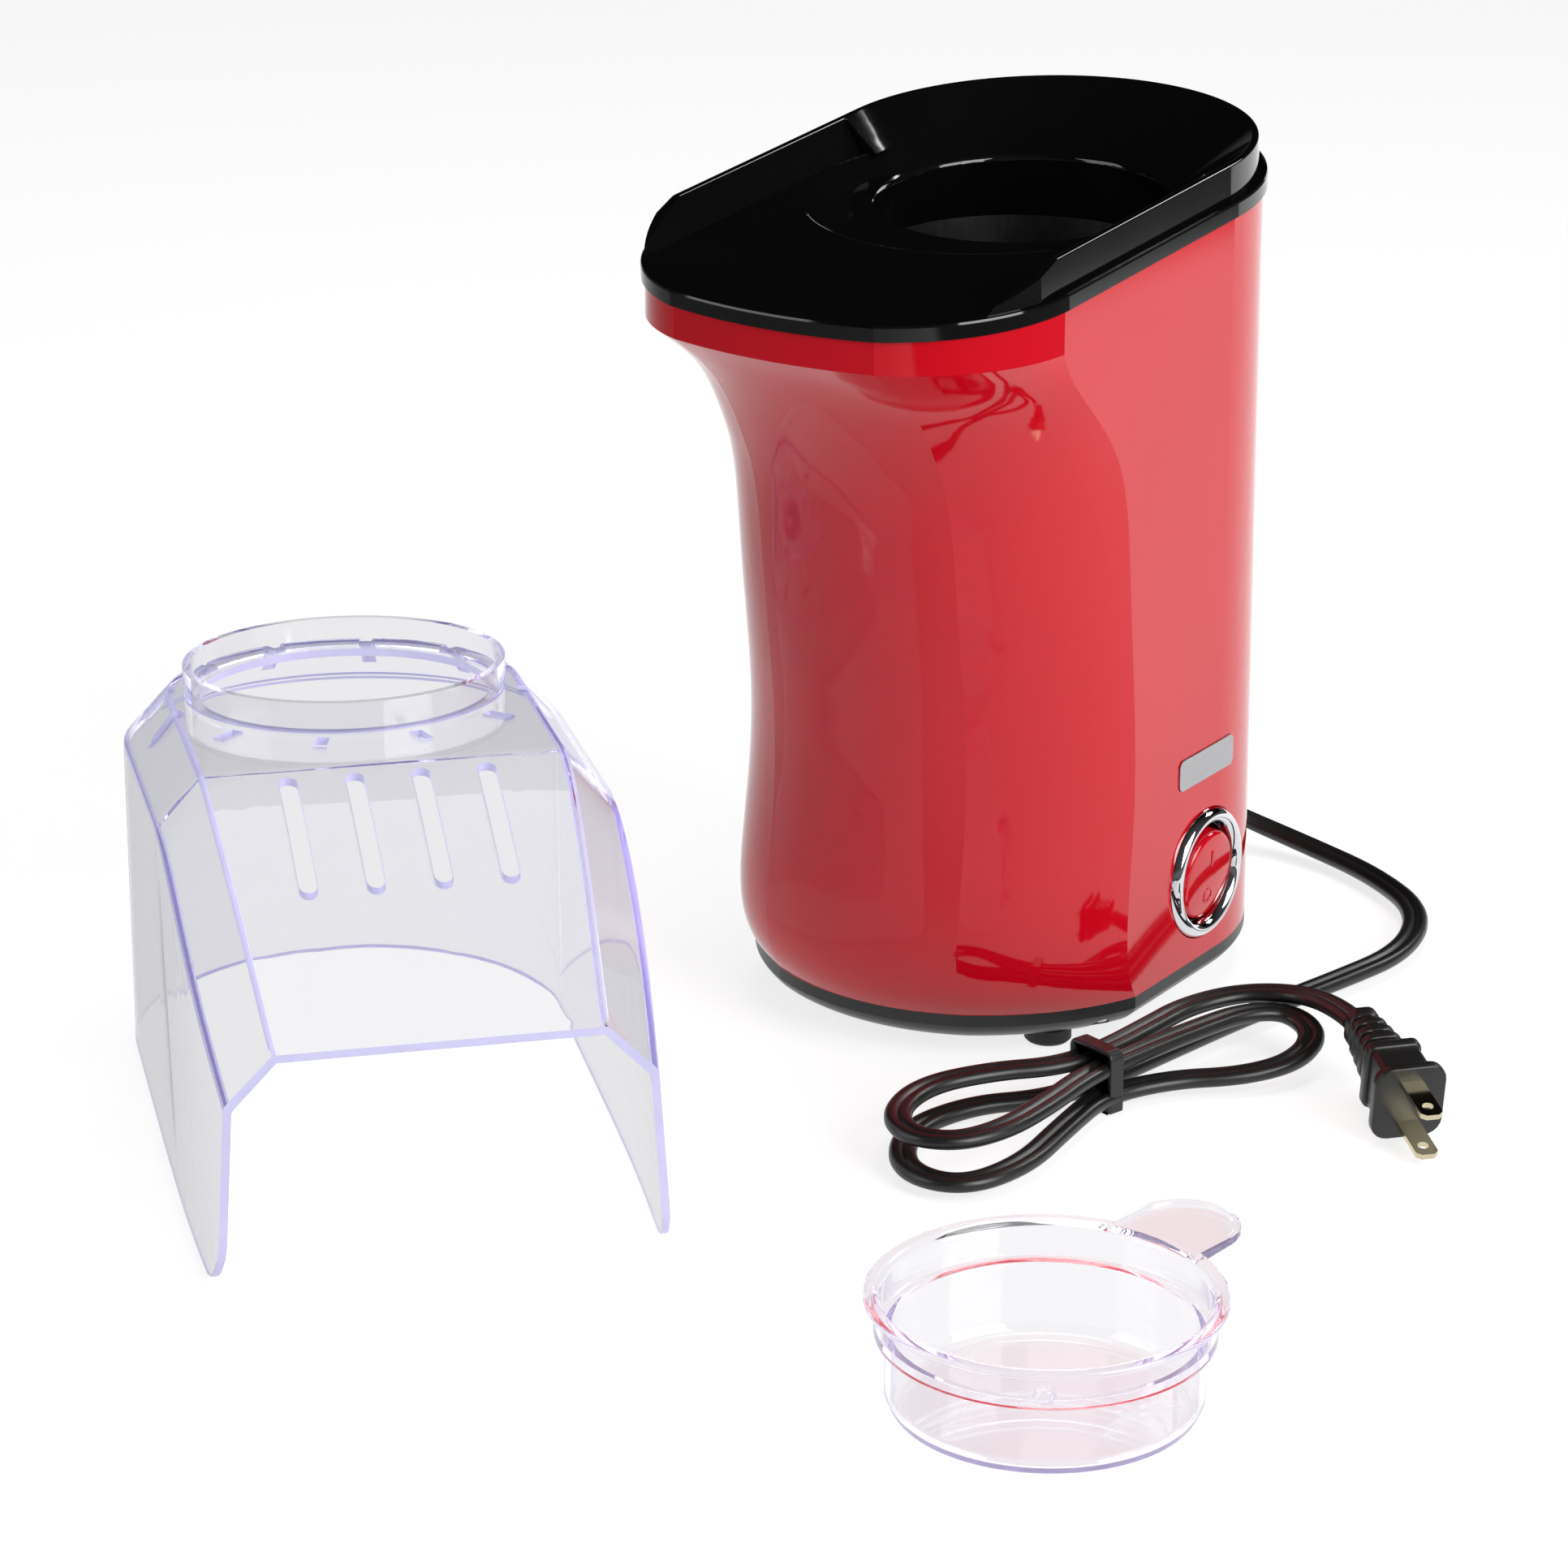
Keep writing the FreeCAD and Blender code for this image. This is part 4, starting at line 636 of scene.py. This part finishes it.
# mm about the body; tip is how far over the rocker rests, degrees
switchSettings = {
    "y": -7.8, "z": 39.5, "pivotX": 57.7, "tip": 6.0,
    "bezel": {"seat": 62.5, "radius": 17.1, "halfWidth": 2.5, "proud": 4.0, "profileSteps": 44,
              "turnSteps": 112},
    "cap": {"back": 55.0, "front": 65.5, "radius": 13.4, "sides": 112, "edge": 1.7, "edgeSteps": 6},
    "crown": ((3.0, 0.22), (3.0, 0.14), (3.0, 0.07)),  # each step of the face: how far in and out, mm
    "markSink": 0.12,
    "markO": {"below": 6.0, "radius": 2.05, "halfWidth": 0.42, "proud": 0.34, "profileSteps": 16,
              "turnSteps": 48},
    "markI": {"above": 5.6, "width": 1.1, "height": 4.8, "proud": 0.34, "edge": 0.26, "edgeSteps": 3},
}


def chromeBezel(s):
    seat = place(s["bezel"]["seat"], s["y"], s["z"])
    return turnedBead(seat, s["bezel"]["radius"], s["bezel"])


def rockerCap(s):
    cap = s["cap"]
    middle = place((cap["back"] + cap["front"]) / 2, s["y"], s["z"])
    bpy.ops.object.select_all(action="DESELECT")
    bpy.ops.mesh.primitive_cylinder_add(vertices=cap["sides"], radius=cap["radius"] * mm, location=middle,
                                        depth=(cap["front"] - cap["back"]) * mm,
                                        rotation=(0, math.pi / 2, 0))
    body = setDown(bpy.context.object)
    frontX = place(cap["front"], 0, 0).x - near["touchMm"] * mm
    editSome(body, "EDGE", lambda a, b: min(a.x, b.x) > frontX)
    bpy.ops.mesh.bevel(offset=cap["edge"] * mm, segments=cap["edgeSteps"], affect="EDGES")
    bpy.ops.object.mode_set(mode="OBJECT")
    editSome(body, "FACE", lambda f: f.center.x > frontX and f.normal.x > near["facing"])
    out = 0.0
    for inward, outward in s["crown"]:
        bpy.ops.mesh.inset(thickness=inward * mm, depth=outward * mm)
        out += outward
    leaveEdit(body, near["smoothDegrees"])
    faceX = cap["front"] + out - s["markSink"]
    ring = s["markO"]
    markO = turnedBead(place(faceX, s["y"], s["z"] - ring["below"]), ring["radius"], ring)
    bar = s["markI"]
    bpy.ops.object.select_all(action="DESELECT")
    bpy.ops.mesh.primitive_cube_add(size=1.0, location=place(faceX, s["y"], s["z"] + bar["above"]))
    markI = setDown(bpy.context.object, (2 * bar["proud"], bar["width"], bar["height"]))
    editAll(markI)
    bpy.ops.mesh.bevel(offset=bar["edge"] * mm, segments=bar["edgeSteps"], affect="EDGES")
    leaveEdit(markI, near["smoothDegrees"])
    whole = joined([body, markO, markI])
    pivot = place(s["pivotX"], s["y"], s["z"])
    tip = Matrix.Rotation(math.radians(s["tip"]), 4, "Y")
    whole.data.transform(Matrix.Translation(pivot) @ tip @ Matrix.Translation(-pivot))
    return whole


switchBezel = chromeBezel(switchSettings)
present(switchBezel, "chromeBezel", "bezelChromePlate", "main_unit", ["switch_bezel"])
switchCap = rockerCap(switchSettings)
present(switchCap, "rockerCap", "redAbsHighGloss", "rocker", ["switch_rocker"])


# Stage: pale floor and soft boxes. In the gloss the floor fades towards the camera and past the paper.
stage = {
    "floorSize": 14.0, "floorDrop": 0.0006, "floor": "#F4F4F4", "sky": "#FFFFFF",
    "floorGlow": 0.66, "paperGlow": 1.2, "throughGlow": 0.97,
    "glossNear": 0.15, "glossFar": 1.25, "glossFrom": -0.7, "glossTo": 0.5, "glossTowards": (0.6, 0.8, 0.0),
    "paperEnd": (0.465, 0.505), "pastPaper": 0.1, "skyAmbient": 0.021,
    "horizonGlow": 0.08, "horizonFrom": 0.13, "horizonTo": 0.26,
    "skyGlossDark": 0.002, "skyGlossBright": 0.065, "skyGlossFrom": 0.1, "skyGlossTo": 0.9,
    "skyGlossTowards": (0.9, -0.3, 0.3), "lampsAim": (0.0, 0.05, 0.12),
}
bpy.ops.object.select_all(action="DESELECT")
bpy.ops.mesh.primitive_plane_add(size=stage["floorSize"], location=(0, 0, -stage["floorDrop"]))
floor = bpy.context.object
floor.name = "floor"
floorMat = bpy.data.materials.new("paleFloor")
floorMat.use_nodes = True
tree = floorMat.node_tree
tree.nodes.remove(tree.nodes["Principled BSDF"])
ray = addNode(tree, "ShaderNodeLightPath")
matte = addNode(tree, "ShaderNodeBsdfDiffuse", {}, {"Color": linear(stage["floor"])})
paper = addNode(tree, "ShaderNodeEmission", {}, {"Strength": stage["paperGlow"]})
coords = addNode(tree, "ShaderNodeTexCoord")
along = addNode(tree, "ShaderNodeVectorMath", {"operation": "DOT_PRODUCT"}, {1: stage["glossTowards"]},
                {0: coords.outputs["Object"]})
sweep = addNode(tree, "ShaderNodeMapRange", {"interpolation_type": "SMOOTHSTEP"},
                {"From Min": stage["glossFrom"], "From Max": stage["glossTo"],
                 "To Min": stage["glossNear"], "To Max": stage["glossFar"]},
                {"Value": along.outputs["Value"]})
across = addNode(tree, "ShaderNodeSeparateXYZ", {}, {}, {0: coords.outputs["Object"]})
ending = addNode(tree, "ShaderNodeMapRange", {"interpolation_type": "SMOOTHSTEP"},
                 {"From Min": stage["paperEnd"][0], "From Max": stage["paperEnd"][1],
                  "To Min": 1.0, "To Max": stage["pastPaper"]}, {"Value": across.outputs["X"]})
sheet = addNode(tree, "ShaderNodeMath", {"operation": "MULTIPLY"}, {},
                {0: sweep.outputs["Result"], 1: ending.outputs["Result"]})
glossy = addNode(tree, "ShaderNodeEmission", {}, {}, {"Strength": sheet.outputs[0]})
through = addNode(tree, "ShaderNodeEmission", {}, {"Strength": stage["throughGlow"]})
lit = addNode(tree, "ShaderNodeMixShader", {}, {0: stage["floorGlow"]})
tree.links.new(matte.outputs[0], lit.inputs[1])
tree.links.new(paper.outputs[0], lit.inputs[2])
stack = matte.outputs[0]
for flag, shade in (("Is Camera Ray", lit), ("Is Glossy Ray", glossy), ("Is Transmission Ray", through)):
    pick = addNode(tree, "ShaderNodeMixShader", {}, {}, {0: ray.outputs[flag]})
    tree.links.new(stack, pick.inputs[1])
    tree.links.new(shade.outputs[0], pick.inputs[2])
    stack = pick.outputs[0]
tree.links.new(stack, tree.nodes["Material Output"].inputs["Surface"])
floor.data.materials.append(floorMat)

world = bpy.data.worlds.new("studio")
bpy.context.scene.world = world
world.use_nodes = True
tree = world.node_tree
sky = tree.nodes["Background"]
sky.inputs["Color"].default_value = linear(stage["sky"])
ray = addNode(tree, "ShaderNodeLightPath")
coords = addNode(tree, "ShaderNodeTexCoord")
aside = addNode(tree, "ShaderNodeVectorMath", {"operation": "DOT_PRODUCT"}, {1: stage["skyGlossTowards"]},
                {0: coords.outputs["Generated"]})
fade = addNode(tree, "ShaderNodeMapRange", {"interpolation_type": "SMOOTHSTEP"},
               {"From Min": stage["skyGlossFrom"], "From Max": stage["skyGlossTo"],
                "To Min": stage["skyGlossDark"], "To Max": stage["skyGlossBright"]},
               {"Value": aside.outputs["Value"]})
height = addNode(tree, "ShaderNodeSeparateXYZ", {}, {}, {0: coords.outputs["Generated"]})
horizon = addNode(tree, "ShaderNodeMapRange", {"interpolation_type": "SMOOTHSTEP"},
                  {"From Min": stage["horizonFrom"], "From Max": stage["horizonTo"],
                   "To Min": stage["horizonGlow"], "To Max": 0.0}, {"Value": height.outputs["Z"]})
gloss = addNode(tree, "ShaderNodeMath", {"operation": "ADD"}, {},
                {0: fade.outputs["Result"], 1: horizon.outputs["Result"]})
level = addNode(tree, "ShaderNodeMix", {}, {2: stage["skyAmbient"]},
                {0: ray.outputs["Is Glossy Ray"], 3: gloss.outputs[0]})
for flag in ("Is Camera Ray", "Is Transmission Ray"):
    level = addNode(tree, "ShaderNodeMix", {}, {3: 1.0}, {0: ray.outputs[flag], 2: level.outputs[0]})
tree.links.new(level.outputs[0], sky.inputs["Strength"])
print("floor and sky made")

lamps = {  # metres and watts
    "keyBox": {"at": (1.7, -0.2, 1.0), "size": 1.3, "watts": 38.0},
    "fillBox": {"at": (-1.3, -1.6, 1.1), "size": 1.4, "watts": 15.0},
    "topBox": {"at": (-0.1, 0.3, 1.9), "size": 1.2, "watts": 18.0, "noGloss": True},
    # seen only in the gloss: it draws the side of the black bowl
    "backStrip": {"at": (0.55, 1.5, 1.15), "size": 0.45, "watts": 7.0, "glossOnly": True},
}
for name, s in lamps.items():
    bpy.ops.object.light_add(type="AREA", location=s["at"])
    lamp = bpy.context.object
    lamp.name = name
    lamp.data.size = s["size"]
    lamp.data.energy = s["watts"]
    lamp.visible_glossy = "noGloss" not in s
    lamp.visible_diffuse = "glossOnly" not in s
    lamp.visible_transmission = "glossOnly" not in s
    aim = Vector(stage["lampsAim"]) - Vector(s["at"])
    lamp.rotation_euler = aim.to_track_quat("-Z", "Y").to_euler()
print("lamps", len(lamps))

cameraSettings = {
    "at": (752.2, -1143.9, 601.9), "towards": (-0.522, 0.777, -0.3505), "lens": 121.96, "sensor": 36.0,
    "clip": (0.05, 50.0),  # metres, the rest in mm
}
bpy.ops.object.camera_add(location=[v * mm for v in cameraSettings["at"]])
camera = bpy.context.object
camera.rotation_euler = Vector(cameraSettings["towards"]).to_track_quat("-Z", "Y").to_euler()
camera.data.lens = cameraSettings["lens"]
camera.data.sensor_width = cameraSettings["sensor"]
camera.data.clip_start, camera.data.clip_end = cameraSettings["clip"]
bpy.context.scene.camera = camera
bpy.context.scene.view_settings.view_transform = "Standard"
